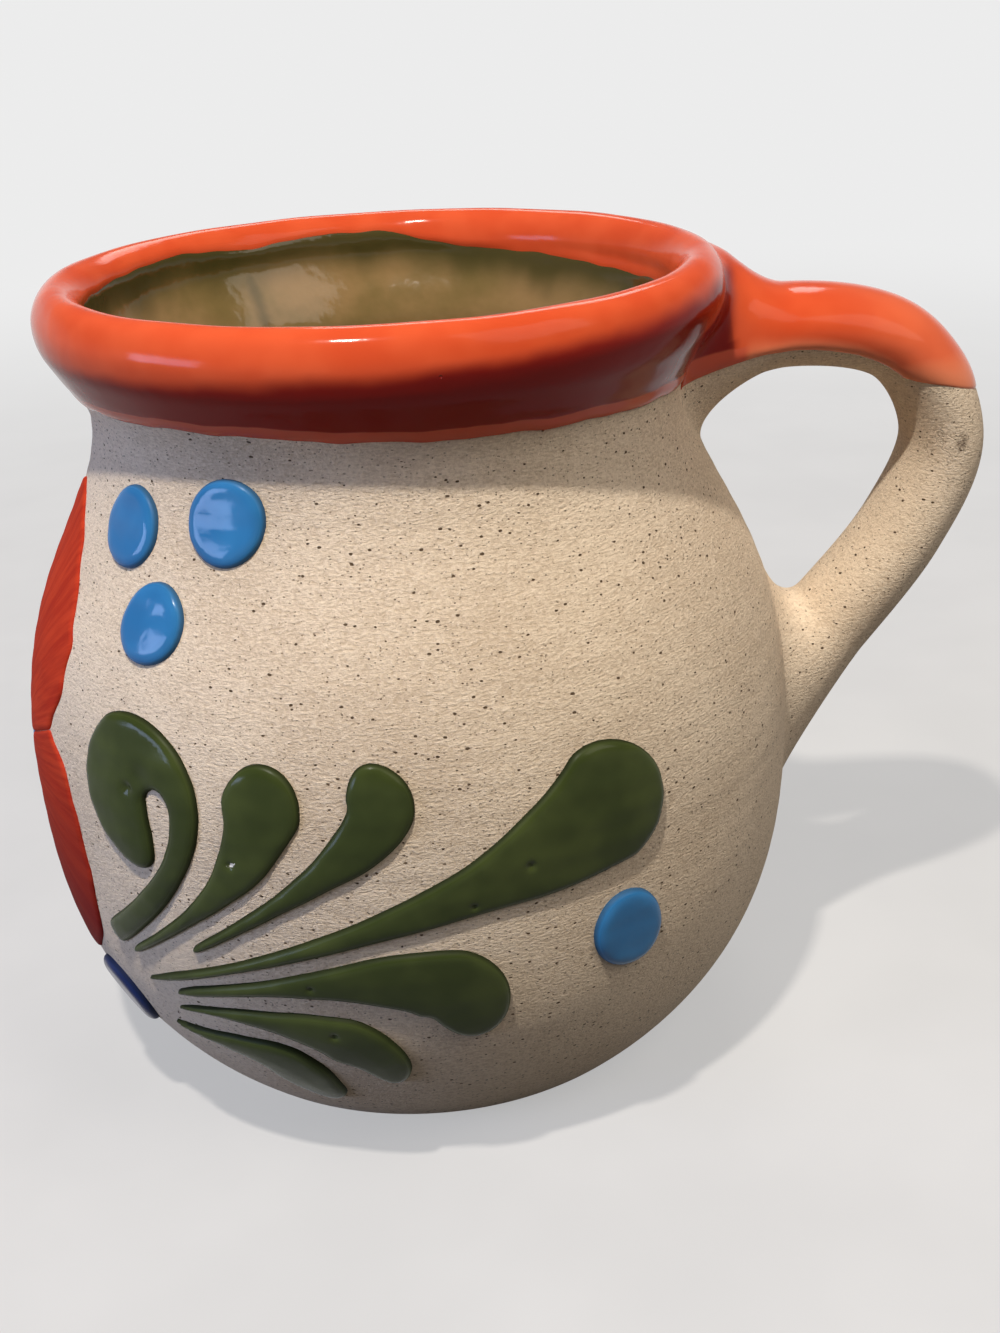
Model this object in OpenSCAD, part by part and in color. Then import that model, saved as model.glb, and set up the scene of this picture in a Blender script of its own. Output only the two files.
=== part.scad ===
// Jarrito: a round-bellied clay mug with a rolled lip, a pulled strap handle, a glazed rim and lining,
// and leaves, dots and petals trailed on in thick coloured slip.
// Millimetres. The foot stands on z = 0, the pot is thrown about Z and the handle points along +X.

/* [Pot] */
// Height from the table to the crest of the lip
mug_h = 95; // [88:1:110]
// Radius of the flat foot
foot_r = 31; // [27:0.5:33]
// Outward slope of the wall at the foot, run over rise
foot_flare = 1.08; // [0.9:0.02:1.2]
// Radius of the rounding at the edge of the foot
foot_round = 1.2; // [0.6:0.1:2]
// Radius of the belly at its widest place
belly_r = 46; // [44:0.5:52]
// Height of the belly's widest place
belly_z = 40; // [35:1:44]
// How far the shoulder stands in from the belly
shoulder_in = 4.4; // [3:0.2:6]
// Drop from the crest of the lip to the shoulder
shoulder_drop = 34; // [30:1:38]
// Inward slope of the wall at the shoulder, run over rise
shoulder_lean = 0.45; // [0.35:0.01:0.55]
// How far the neck, the narrowest place below the lip, stands in from the belly
neck_in = 12; // [10:0.5:13.5]
// Drop from the crest of the lip to the neck
neck_drop = 14.5; // [13:0.5:17]
// How far the rolled lip stands out beyond the neck
lip_out = 4.5; // [3:0.5:6]
// Thickness of the rolled lip
lip_t = 5.2; // [4.4:0.1:6]
// Height of the rounded crown of the lip
lip_crown = 4; // [3:0.2:5]
// Thickness of the thrown wall
wall_t = 4.6; // [3.6:0.1:5.4]
// Thickness of the floor
floor_t = 6; // [4.5:0.1:8]
// Radius of the curve between the floor and the wall inside
heel_r = 5; // [3:0.5:8]

/* [Handle] */
// Width of the strap across its flat
strap_w = 14.6; // [12:0.2:17]
// Thickness of the strap
strap_t = 9; // [7:0.2:10]
// How far the strap's middle line stands out beyond the belly
handle_out = 19.6; // [18:0.2:24]
// Drop from the crest of the lip to the top of the strap's arch
arch_drop = 6.3; // [5.4:0.1:7]
// Drop from the crest of the lip to the top of the upper root, which laps over the lip
upper_root_top = 0.5; // [0.4:0.1:3]
// Height of the upper root on the wall
upper_root_h = 21; // [19:0.5:23]
// Width of the upper root on the wall
upper_root_w = 23; // [19:0.5:26]
// How far the middle of the lower root lies below the belly's widest place
lower_root_below = 1; // [-2:0.5:3]
// Height of the lower root on the wall
lower_root_h = 29; // [25:0.5:32]
// Width of the lower root on the wall
lower_root_w = 24; // [20:0.5:27]
// Reach of the smoothed fillet round each root
root_fillet = 5; // [3:0.5:7]

/* [Glaze] */
// Thickness of the glaze on the rim, the handle and the lining
coat_t = 0.4; // [0.3:0.05:0.8]
// Drop from the crest of the lip to the glaze's lower edge outside
rim_drop_out = 11.6; // [10.6:0.2:12.6]
// How far the orange runs down inside, below the widest turn of the lip
rim_run_in = 0.6; // [0.4:0.2:4]
// Drop from the crest of the lip to the level cut of the orange on the handle
handle_cut_drop = 18.8; // [16:0.4:24]

/* [Decoration] */
// Height of the trailed leaves above the clay
leaf_t = 0.9; // [0.6:0.05:1.3]
// Rise of the spray of leaves above its base, as a share of the mug's height
spray_h_share = 0.358; // [0.34:0.002:0.37]
// Reach of the spray of leaves round the belly, as a share of the belly's radius
spray_w_share = 1.435; // [1.35:0.005:1.47]
// Height of the base of the spray, as a share of the mug's height
spray_z_share = 0.232; // [0.224:0.002:0.25]
// Way round the pot from the flower's middle to the spray's base, as a share of the flower's reach
spray_start_share = 0.862; // [0.84:0.002:0.9]
// Width of the widest leaf, as a share of the spray's rise
leaf_w_share = 0.424; // [0.36:0.004:0.44]
// Diameter of a trailed dot
dot_d = 9; // [7:0.2:10]
// Height of a trailed dot above the clay
dot_t = 1.1; // [0.7:0.05:1.5]
// Reach of the flower's longest petals from its middle, as a share of the mug's height
flower_r_share = 0.379; // [0.34:0.002:0.39]
// Height of the middle of the flower, as a share of the mug's height
flower_z_share = 0.421; // [0.41:0.002:0.44]
// Height of the petals above the clay
petal_t = 0.5; // [0.35:0.05:0.8]
// Bare clay left between two petals
petal_gap = 0.6; // [0.3:0.1:1.5]
// Diameter of the raised eye of the flower
eye_d = 9.6; // [8:0.2:12]

/* [Hidden] */
// Least gap that a laid piece keeps above the clay that it is laid on
bed_gap = 0.02;
// How far the rim's glaze stays off the handle's upper root, as a share of coat_t
root_clear_share = 2.5;
// Height of a laid piece at its own edge, as a share of its full height
edge_share = 0.35;
// Width left at the tip of a laid piece, as a share of its widest
tip_share = 0.08;
// How strongly a trail's inner edge is gathered in at a bend, and the rows each way that it affects
gather_share = 1.15;
bend_rows = 2;
// Steps up the wall, round the crown of the lip and round a small curve
wall_steps = 48;
rim_steps = 8;
crown_steps = 14;
curve_steps = 5;
rim_in_steps = 2;
// Power with which rows crowd together towards the rounded end of a leaf or a petal
crowd_power = 1.5;
// Power of the swell across a petal: the higher, the flatter its middle
crown_power = 4;
// Rows along and columns across a leaf, a dot and a petal
leaf_rows = 14;
leaf_cols = 6;
dot_rows = 8;
dot_cols = 4;
petal_rows = 7;
petal_cols = 10;
// Rows along the strap and along each root, points round it, and rings under a root
strap_rows = 20;
root_rows = 5;
strap_points = 24;
cap_rings = 8;
// Points of the strap on each side of its back that the glaze covers
coat_points = 7;

// Heights of the lip, the neck, the shoulder and the glaze's two edges, and the pot's radii
lip_z = mug_h - lip_crown;
neck_z = mug_h - neck_drop;
shoulder_z = mug_h - shoulder_drop;
rim_out_z = mug_h - rim_drop_out;
rim_in_z = lip_z - rim_run_in;
shoulder_r = belly_r - shoulder_in;
neck_r = belly_r - neck_in;
lip_r = neck_r + lip_out;
lip_mid_r = lip_r - lip_t / 2;
upper_root_z = mug_h - upper_root_top - upper_root_h / 2;
lower_root_z = belly_z - lower_root_below;
// Reach, rise and base of the spray of leaves, and the flower's reach and middle
spray_w = spray_w_share * belly_r;
spray_h = spray_h_share * mug_h;
spray_z = spray_z_share * mug_h;
leaf_w = leaf_w_share * spray_h;
flower_r = flower_r_share * mug_h;
flower_z = flower_z_share * mug_h;

// The strap's middle line from the upper root to the lower one. Each point is a share of handle_out
// beyond the belly, and a share of the way up from the lower root to the top of the arch.
strap_path_share = [[0.02, 1], [0.7, 0.93], [1, 0.68], [0.79, 0.41], [0.37, 0.165]];

// Leaves of one spray, shortest way up first: the base, two bends and the tip of each leaf's middle
// line, as shares of spray_w round the belly and of spray_h above the spray's base.
leaf_path_share = [
    [[0.000, 0.18], [0.535, 0.955], [-0.150, 1.125], [0.133, 0.515]],
    [[0.045, 0.14], [0.360, 0.56], [0.335, 0.680], [0.355, 0.915]],
    [[0.195, 0.24], [0.620, 0.79], [0.530, 0.745], [0.510, 0.930]],
    [[0.055, 0.03], [0.685, 0.57], [0.745, 0.485], [0.985, 0.785]],
    [[0.125, 0.025], [0.480, 0.29], [0.720, 0.245], [0.620, -0.040]],
    [[0.105, -0.06], [0.250, 0.055], [0.520, 0.030], [0.465, -0.265]],
    [[0.065, -0.16], [0.335, -0.130], [0.290, -0.200], [0.335, -0.390]]
];
// Each leaf's widest as a share of leaf_w, the share of its length where it is widest, its tail's
// width as a share of its widest, and the power with which it swells from tail to head
leaf_form_share = [
    [0.70, 0.72, 0.30, 6.4],
    [0.61, 0.85, 0.12, 2.6],
    [0.50, 0.85, 0.16, 2.4],
    [1.00, 0.89, 0.08, 3.2],
    [0.73, 0.80, 0.13, 2.7],
    [0.50, 0.68, 0.10, 2.1],
    [0.50, 0.63, 0.11, 1.8]
];
// Each dot's way round the pot from the flower's middle, as a share of flower_r and a share of spray_w
// that add up, its height as a share of mug_h and its width as a share of dot_d
dot_share = [
    [0.673, 0, 0.767, 0.98],
    [1.017, 0, 0.79, 1],
    [0.942, 0, 0.68, 0.96],
    [0.909, 0.92, 0.316, 1.1],
    [0.607, 0, 0.15, 1.1]
];

// Petals of the flower's photographed side from the top down: the two angles that each fills, up from
// level, and its reach at even steps between them as shares of flower_r. The last one is the lowest
// petal, which stands on the flower's middle line. The others are mirrored to the far side.
petal_share = [
    [24, 90, [0.64, 0.78, 0.88, 0.94, 0.98, 1, 0.91]],
    [-54, 24, [0.72, 0.82, 0.845, 0.82, 0.78, 0.74, 0.64]],
    [-126, -54, [0.72, 0.8, 0.83, 0.84, 0.83, 0.8, 0.72]]
];
petals = 2 * len(petal_share) - 1;

$fn = 96;

// The thrown wall, as stations of height, radius and slope with a smooth cubic between each two
outer_stations = [
    [0, foot_r, foot_flare],
    [belly_z, belly_r, 0],
    [shoulder_z, shoulder_r, -shoulder_lean],
    [neck_z, neck_r, 0],
    [lip_z, lip_r, 0]
];
// The station that a height comes after
function leg(stations, z, i = 0) =
    i >= len(stations) - 2 || z <= stations[i + 1][0] ? i : leg(stations, z, i + 1);
function curve_r(stations, z) =
    let(
        i = leg(stations, z),
        a = stations[i],
        b = stations[i + 1],
        h = b[0] - a[0],
        t = (z - a[0]) / h,
        u = 1 - t
    )
    a[1] * (1 + 2 * t) * u * u + h * a[2] * t * u * u + b[1] * (3 - 2 * t) * t * t - h * b[2] * t * t * u;
function curve_lean(stations, z) =
    let(
        i = leg(stations, z),
        a = stations[i],
        b = stations[i + 1],
        h = b[0] - a[0],
        t = (z - a[0]) / h
    )
    6 * t * (1 - t) * (b[1] - a[1]) / h + (3 * t * t - 4 * t + 1) * a[2] + (3 * t * t - 2 * t) * b[2];
// The height above the lip's widest turn, as a share of the crown
function crown_at(z) = (z - lip_z) / lip_crown;
// The outside of the pot: the thrown line up to the lip, and then the rounded crown
function wall_r(z) =
    z <= lip_z ? curve_r(outer_stations, z)
    : lip_mid_r + lip_t / 2 * sqrt(1 - pow(crown_at(z), 2));
function wall_lean(z) =
    z <= lip_z ? curve_lean(outer_stations, z)
    : -lip_t / 2 / lip_crown * crown_at(z) / sqrt(1 - pow(crown_at(z), 2));
// Length along the wall for one unit of height
function wall_run(z) = sqrt(1 + pow(wall_lean(z), 2));
// The point at a turn from the handle and a height, lifted square off the wall
function on_wall(turn, z, lift) =
    let(k = wall_run(z), r = wall_r(z) + lift / k)
    [r * cos(turn), r * sin(turn), z - lift * wall_lean(z) / k];
// The turn that a length round the pot takes at one radius
function turn_of(length, r) = length / r * 180 / PI;

// The inside of the wall
inner_stations = [
    [floor_t, wall_r(floor_t) - wall_t * wall_run(floor_t), wall_lean(floor_t)],
    [belly_z, belly_r - wall_t, 0],
    [shoulder_z, shoulder_r - wall_t * wall_run(shoulder_z), -shoulder_lean],
    [neck_z, neck_r - wall_t, 0],
    [lip_z, lip_r - lip_t, 0]
];
heel_z = floor_t + heel_r;
inner_floor_r = inner_stations[0][1];

// Points on a straight run of heights, on a corner's curve, and over the crown of the lip
function run_points(stations, from, to, steps) =
    [for (i = [0:steps]) let(z = from + (to - from) * i / steps) [curve_r(stations, z), z]];
function corner_points(a, corner, b) =
    [
        for (i = [0:curve_steps])
        let(t = i / curve_steps, u = 1 - t)
        u * u * a + 2 * t * u * corner + t * t * b
    ];
function tail_of(points) = [for (i = [1:len(points) - 1]) points[i]];
foot_points = corner_points([foot_r - foot_round, 0], [foot_r, 0], [wall_r(foot_round), foot_round]);
below_rim_points = run_points(outer_stations, foot_round, rim_out_z, wall_steps);
outer_rim_points = run_points(outer_stations, rim_out_z, lip_z, rim_steps);
crown_points = [
    for (i = [1:crown_steps - 1])
    let(a = 180 * i / crown_steps)
    [lip_mid_r + lip_t / 2 * cos(a), lip_z + lip_crown * sin(a)]
];
inner_rim_points = run_points(inner_stations, lip_z, rim_in_z, rim_in_steps);
inner_wall_points = run_points(inner_stations, rim_in_z, heel_z, wall_steps);
heel_points = corner_points(
    [curve_r(inner_stations, heel_z), heel_z],
    [inner_floor_r, floor_t],
    [inner_floor_r - heel_r, floor_t]
);
rim_points = concat(outer_rim_points, crown_points, inner_rim_points);
lining_points = concat(tail_of(inner_wall_points), tail_of(heel_points), [[0, floor_t]]);
glazed_points = concat(rim_points, lining_points);

// An outline that runs up the outside, over the lip and down the inside, moved off the clay by a distance
function moved(points, by) = [
    for (i = [0:len(points) - 1])
    let(
        d = points[min(i + 1, len(points) - 1)] - points[max(i - 1, 0)]
    )
    points[i] + by * [d[1], -d[0]] / norm(d)
];
// A coat of glaze turned round the pot, between two points of the glazed outline
module coat(first, last) {
    above = moved(glazed_points, bed_gap + coat_t);
    below = moved(glazed_points, bed_gap);
    rotate_extrude()
        polygon(concat([for (i = [first:last]) above[i]], [for (i = [last:-1:first]) below[i]]));
}

// A closed skin between an upper and a lower grid of points, with rows along it and columns across
module slab(upper, lower) {
    rows = len(upper) - 1;
    cols = len(upper[0]) - 1;
    under = (rows + 1) * (cols + 1);
    function at(i, j) = i * (cols + 1) + j;
    top_faces = [
        for (i = [0:rows - 1], j = [0:cols - 1])
        each [[at(i, j), at(i, j + 1), at(i + 1, j + 1)], [at(i, j), at(i + 1, j + 1), at(i + 1, j)]]
    ];
    side_faces = [
        for (i = [0:rows - 1])
        each [
            [at(i, 0), at(i + 1, 0), under + at(i + 1, 0)],
            [at(i, 0), under + at(i + 1, 0), under + at(i, 0)],
            [at(i + 1, cols), at(i, cols), under + at(i, cols)],
            [at(i + 1, cols), under + at(i, cols), under + at(i + 1, cols)]
        ]
    ];
    end_faces = [
        for (j = [0:cols - 1])
        each [
            [at(0, j + 1), at(0, j), under + at(0, j)],
            [at(0, j + 1), under + at(0, j), under + at(0, j + 1)],
            [at(rows, j), at(rows, j + 1), under + at(rows, j + 1)],
            [at(rows, j), under + at(rows, j + 1), under + at(rows, j)]
        ]
    ];
    bottom_faces = [for (face = top_faces) [under + face[0], under + face[2], under + face[1]]];
    polyhedron(
        points = concat([for (row = upper) each row], [for (row = lower) each row]),
        faces = concat(top_faces, side_faces, end_faces, bottom_faces)
    );
}

// A step along a spine of turns and heights, in lengths round and up the wall
function spine_step(from, to) =
    [(to[0] - from[0]) * PI / 180 * wall_r(from[1]), (to[1] - from[1]) * wall_run(from[1])];
// How sharply a spine bends at one of its points, in turns to the left per unit length
function bend_at(spine, i) =
    i < 1 || i > len(spine) - 2 ? 0
    : let(
        into = spine_step(spine[i - 1], spine[i]),
        onward = spine_step(spine[i], spine[i + 1])
    )
    2 * (into[0] * onward[1] - into[1] * onward[0]) / (norm(into) * norm(onward) * norm(into + onward));
// Points across one station of a trail. The inside of a tight bend is gathered in, so that it
// doesn't fold over itself.
function trail_row(spine, i, half_w, cols, edge, top) =
    let(
        here = spine[i],
        way = spine_step(spine[max(i - 1, 0)], here) + spine_step(here, spine[min(i + 1, len(spine) - 1)]),
        bends = [for (k = [i - bend_rows:i + bend_rows]) bend_at(spine, k)],
        r = wall_r(here[1]),
        k = wall_run(here[1])
    )
    [
        for (j = [0:cols])
        let(
            a = 180 * j / cols - 90,
            tightest = max(sign(a) * bends),
            w = half_w * sin(a) / max(1, gather_share * tightest * half_w)
        )
        on_wall(
            here[0] - turn_of(w * way[1] / norm(way), r),
            here[1] + w * way[0] / norm(way) / k,
            edge + (top - edge) * cos(a)
        )
    ];
// Length along a spine up to one of its points
function spine_length(spine, i) =
    i == 0 ? 0
    : spine_length(spine, i - 1)
        + norm(on_wall(spine[i][0], spine[i][1], 0) - on_wall(spine[i - 1][0], spine[i - 1][1], 0));
// A trail of slip along a spine. Its underside follows the clay at a height that clears the sag of
// its own flat facets.
module trail(spine, half_ws, cols, height) {
    rows = len(spine) - 1;
    step = max([for (i = [1:rows]) spine_length(spine, i) - spine_length(spine, i - 1)]);
    widest = max(half_ws);
    bed = bed_gap + (pow(step, 2) + pow(widest * sin(180 / cols), 2)) / (8 * belly_r);
    rises = [for (w = half_ws) height * sqrt(min(1, 2 * w / widest))];
    slab(
        [
            for (i = [0:rows])
            trail_row(spine, i, half_ws[i], cols, bed + edge_share * rises[i], bed + rises[i])
        ],
        [for (i = [0:rows]) trail_row(spine, i, half_ws[i], cols, bed, bed)]
    );
}

// Angle of the spray's base from the handle
spray_angle = 180 - turn_of(spray_start_share * flower_r, wall_r(spray_z));
// One leaf of the spray, swelling from a thin tail to a round head
module leaf(n) {
    color("darkolivegreen") {
        form = leaf_form_share[n];
        path = [for (p = leaf_path_share[n]) [p[0] * spray_w, spray_z + p[1] * spray_h]];
        spine = [
            for (i = [0:leaf_rows])
            let(
                t = 1 - pow(1 - i / leaf_rows, crowd_power),
                u = 1 - t,
                p = u * u * (u * path[0] + 3 * t * path[1]) + t * t * (3 * u * path[2] + t * path[3])
            )
            [turn_of(p[0], wall_r(p[1])) - spray_angle, p[1]]
        ];
        half_ws = [
            for (i = [0:leaf_rows])
            let(
                s = spine_length(spine, i) / spine_length(spine, leaf_rows),
                swell = form[2] + (1 - form[2]) * pow(min(s / form[1], 1), form[3]),
                cap = sqrt(1 - pow(max(s - form[1], 0) / (1 - form[1]), 2))
            )
            leaf_w / 2 * form[0] * swell * max(cap, tip_share)
        ];
        trail(spine, half_ws, leaf_cols, leaf_t);
    }
}

// A round dot of slip, laid across the wall at a turn and a height
module round_dot(turn, z, d, height) {
    spine = [
        for (i = [0:dot_rows])
        [turn - turn_of(d / 2 * cos(180 * i / dot_rows), wall_r(z)), z]
    ];
    half_ws = [for (i = [0:dot_rows]) d / 2 * max(sin(180 * i / dot_rows), 2 * tip_share)];
    trail(spine, half_ws, dot_cols, height);
}
module dot(n) {
    form = dot_share[n];
    z = form[2] * mug_h;
    turn = turn_of(form[0] * flower_r + form[1] * spray_w, wall_r(z)) - 180;
    color("steelblue")
        round_dot(turn, z, form[3] * dot_d, dot_t);
}
module flower_eye() {
    color("steelblue")
        round_dot(180, flower_z, eye_d, dot_t);
}

// A smooth reach between the shares of a petal's edge, from one side of it at 0 to the other at 1
function edge_reach(shares, t) =
    let(
        legs = len(shares) - 1,
        i = min(floor(t * legs), legs - 1),
        f = t * legs - i
    )
    flower_r * (shares[i] + (shares[i + 1] - shares[i]) * f * f * (3 - 2 * f));
// One petal, spread between two angles round the flower's middle, from the eye out to its own edge
module petal(n) {
    right_side = n < len(petal_share);
    form = petal_share[n % len(petal_share)];
    from = eye_d / 2 + petal_gap;
    bed = bed_gap + (pow(flower_r / petal_rows, 2) + pow(flower_r / petal_cols, 2)) / (8 * belly_r);
    function petal_point(i, j, top) =
        let(
            across = 2 * j / petal_cols - 1,
            outward = 1 - pow(1 - i / petal_rows, crowd_power),
            reach = from + (edge_reach(form[2], j / petal_cols) - from) * outward,
            sweep = (form[1] - form[0]) / 2 - turn_of(petal_gap / 2, reach),
            angle = (form[0] + form[1]) / 2 + across * sweep,
            rise = reach * sin(angle),
            z = flower_z + rise / wall_run(flower_z + rise),
            fall = [pow(abs(across), crown_power), pow(abs(2 * outward - 1), crown_power)],
            crown = sqrt((1 - fall[0]) * (1 - fall[1])),
            lift = bed + top * (edge_share + (1 - edge_share) * crown)
        )
        on_wall(180 + turn_of(reach * cos(angle), wall_r(z)), z, lift);
    function grid(top) = [
        for (i = [0:petal_rows])
        [for (j = [0:petal_cols]) petal_point(i, j, top)]
    ];
    color("orangered")
        mirror([0, right_side ? 0 : 1, 0])
            slab(grid(petal_t), grid(0));
}

// Rise of the strap from the neck to its arch, as a share of strap_t
arch_share = 0.33;
// How much thicker the strap's back is where it leaves the lip, and the share of its path that this takes
web_t_share = 0.4;
web_end_share = 0.17;
// How much thicker the strap is at its lower end, and wider at both ends, than in its middle
strap_swell_share = 0.16;
strap_spread_share = 0.1;
// Shares of the strap's path at which it leaves the upper fillet and reaches the lower one, and the
// share over which its direction is taken
upper_fillet_share = 0.115;
lower_fillet_share = 0.84;
direction_share = 0.01;
// How steeply the upper root leaves the lip, rise over run
leave_share = 0.4;

// The strap's middle line in the plane of the handle
arch_z = mug_h - arch_drop - strap_t / 2;
lower_root = [wall_r(lower_root_z), lower_root_z];
strap_path = concat(
    [[neck_r, arch_z - arch_share * strap_t]],
    [
        for (p = strap_path_share)
        [belly_r + p[0] * handle_out, lower_root_z + p[1] * (arch_z - lower_root_z)]
    ],
    [lower_root]
);
// A smooth line through the points of a path, from its first point at 0 to its last at 1
function along_path(path, t) =
    let(
        legs = len(path) - 1,
        i = min(floor(t * legs), legs - 1),
        f = t * legs - i,
        b = path[i],
        c = path[i + 1],
        a = i == 0 ? 2 * b - c : path[i - 1],
        d = i == legs - 1 ? 2 * c - b : path[i + 2]
    )
    b + f / 2 * (c - a + f * (2 * a - 5 * b + 4 * c - d + f * (3 * b - a - 3 * c + d)));
function path_way(path, t) =
    let(d = along_path(path, min(t + direction_share, 1)) - along_path(path, max(t - direction_share, 0)))
    d / norm(d);
// One oval ring of the strap, square to its middle line
function strap_ring(t) =
    let(
        at = along_path(strap_path, t),
        way = path_way(strap_path, t),
        half_t = strap_t / 2 * (1 + strap_swell_share * t * t),
        half_w = strap_w / 2 * (1 + strap_spread_share * pow(2 * t - 1, 2)),
        to_end = max(web_end_share - t, 0) / (web_end_share - upper_fillet_share),
        web_t = web_t_share * strap_t * to_end * to_end
    )
    [
        for (j = [0:strap_points - 1])
        let(a = 360 * j / strap_points, up = half_t * cos(a) + web_t * max(cos(a), 0))
        [at[0] - up * way[1], half_w * sin(a), at[1] + up * way[0]]
    ];
// The edge of a root on the wall, smaller or larger by a scale and by a length. Its side towards the arch
// can be lifted off the wall.
function root_ring(z, h, w, side, scale, grow, lift = 0) = [
    for (j = [0:strap_points - 1])
    let(
        a = 360 * j / strap_points,
        dz = (scale * h / 2 + grow) * cos(a),
        bed = bed_gap + pow(PI * upper_root_h / strap_points, 2) / (16 * lip_crown)
    )
    on_wall(turn_of((scale * w / 2 + grow) * sin(a), wall_r(z)), z + side * dz, bed + lift * max(cos(a), 0))
];
function upper_ring(scale, grow, lift = 0) =
    root_ring(upper_root_z, upper_root_h, upper_root_w, 1, scale, grow, lift);
function lower_ring(scale, grow) = root_ring(lower_root_z, lower_root_h, lower_root_w, -1, scale, grow);
// Rings that run smoothly from one ring, on its way out, to another, on its way in
function loft(a, way_a, b, way_b, steps) = [
    for (i = [1:steps - 1])
    let(t = i / steps, u = 1 - t)
    [
        for (j = [0:strap_points - 1])
        u * u * ((1 + 2 * t) * a[j] + t * way_a[j]) + t * t * ((3 - 2 * t) * b[j] - u * way_b[j])
    ]
];
first_ring = strap_ring(upper_fillet_share);
last_ring = strap_ring(lower_fillet_share);
// The way of each point of the strap as it goes along, with a length
function way_at(t, length) =
    let(way = strap_ring(t + direction_share) - strap_ring(t))
    [for (d = way) length * d / norm(d)];
nearby = direction_share * root_fillet;
upper_loft = loft(
    upper_ring(1, 0), (upper_ring(1, -nearby, leave_share * nearby) - upper_ring(1, 0)) / direction_share,
    first_ring, way_at(upper_fillet_share, root_fillet), root_rows
);
lower_loft = loft(
    last_ring, way_at(lower_fillet_share, 2 * root_fillet),
    lower_ring(1, 0), lower_ring(1, root_fillet) - lower_ring(1, 0), root_rows
);
strap_grid = concat(
    [upper_ring(1, 0)],
    upper_loft,
    [
        for (i = [0:strap_rows])
        strap_ring(upper_fillet_share + (lower_fillet_share - upper_fillet_share) * i / strap_rows)
    ],
    lower_loft,
    [lower_ring(1, 0)]
);
module handle() {
    rings = concat(
        [for (i = [1:cap_rings - 1]) upper_ring(i / cap_rings, 0)],
        strap_grid,
        [for (i = [1:cap_rings - 1]) lower_ring(1 - i / cap_rings, 0)]
    );
    rows = len(rings) - 1;
    n = strap_points;
    first_cap = (rows + 1) * n;
    function at(i, j) = i * n + j % n;
    side_faces = [
        for (i = [0:rows - 1], j = [0:n - 1])
        each [[at(i, j), at(i, j + 1), at(i + 1, j + 1)], [at(i, j), at(i + 1, j + 1), at(i + 1, j)]]
    ];
    cap_faces = [
        for (j = [0:n - 1])
        each [[at(0, j + 1), at(0, j), first_cap], [at(rows, j), at(rows, j + 1), first_cap + 1]]
    ];
    color("antiquewhite")
        polyhedron(
            points = concat([for (ring = rings) each ring], [upper_ring(0, 0)[0], lower_ring(0, 0)[0]]),
            faces = concat(side_faces, cap_faces)
        );
}

// The first ring of the handle that lies wholly below a height
function ring_below(z, i = 0) =
    max([for (p = strap_grid[i]) p[2]]) < z ? i : ring_below(z, i + 1);
// The orange glaze over the back and sides of the strap, from the lip to a level cut
module handle_glaze() {
    cut_z = mug_h - handle_cut_drop;
    rows = ring_below(cut_z);
    function grid_at(i, j) = strap_grid[i][(j + strap_points) % strap_points];
    function lifted(i, j, by) =
        let(
            ahead = grid_at(i + 1, j) - grid_at(max(i - 1, 0), j),
            across = grid_at(i, j + 1) - grid_at(i, j - 1),
            out = cross(ahead, across)
        )
        grid_at(i, j) + by * out / norm(out);
    function grid(by) = [
        for (i = [0:rows])
        [for (j = [-coat_points:coat_points]) lifted(i, j, by)]
    ];
    color("orangered")
        difference() {
            slab(grid(bed_gap + coat_t), grid(bed_gap));
            translate([0, -strap_w, 0])
                cube([belly_r + handle_out + strap_t, 2 * strap_w, cut_z]);
        }
}

module pot() {
    color("antiquewhite")
        rotate_extrude()
            polygon(concat(
                [[0, 0]],
                foot_points,
                tail_of(below_rim_points),
                tail_of(outer_rim_points),
                crown_points,
                inner_rim_points,
                tail_of(inner_wall_points),
                tail_of(heel_points),
                [[0, floor_t]]
            ));
}

// The glaze on the lip, open where the handle's upper root sits on the clay
module rim_glaze() {
    clear = root_clear_share * coat_t;
    root_hole = [
        for (j = [0:strap_points - 1])
        let(a = 360 * j / strap_points)
        [(upper_root_w / 2 + clear) * sin(a), upper_root_z + (upper_root_h / 2 + clear) * cos(a)]
    ];
    split_r = (wall_r(rim_out_z) + lip_r - lip_t) / 2;
    color("orangered")
        difference() {
            coat(0, len(rim_points) - 1);
            difference() {
                rotate([90, 0, 90])
                    linear_extrude(height = lip_r + strap_t)
                        polygon(root_hole);
                cylinder(h = lip_z, r = split_r);
                translate([0, 0, lip_z])
                    cylinder(h = mug_h, r = lip_mid_r);
            }
        }
}

module lining_glaze() {
    color("olive")
        coat(len(rim_points) - 1, len(glazed_points) - 1);
}

pot();
handle();
rim_glaze();
handle_glaze();
lining_glaze();
flower_eye();
for (i = [1:petals])
    petal(i - 1);
for (i = [1:len(leaf_path_share)]) {
    leaf(i - 1);
    mirror([0, 1, 0]) leaf(i - 1);
}
for (i = [1:len(dot_share)]) {
    dot(i - 1);
    mirror([0, 1, 0]) dot(i - 1);
}
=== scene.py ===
# %% [markdown]
# # A jarrito: a hand-thrown clay mug with raised slip and an orange rim
#
# The mug is three layers deep. The clay comes first: a thrown pot and a pulled handle, left bare outside.
# Coloured slip is trailed onto it in thick leaves and dots, and a flower is brushed on. The glazes go on
# last: orange over the lip and the back of the handle, green-brown inside. Every layer is laid on one
# shared wall, so this lesson builds the clay first. The glazes follow, because they are made of rings as
# the clay is, and the slip comes last, with a way of its own.
#
# Lengths are in millimetres here and turn into metres when a mesh is made. Places in the materials and in
# the studio are in metres. Turns are in degrees round the pot from the handle, and the photographed side
# has the negative ones.

# %% Load the frame
import math

import bpy
import bmesh
import numpy as np
from mathutils import Matrix, Vector
from mathutils.geometry import delaunay_2d_cdt


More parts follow.
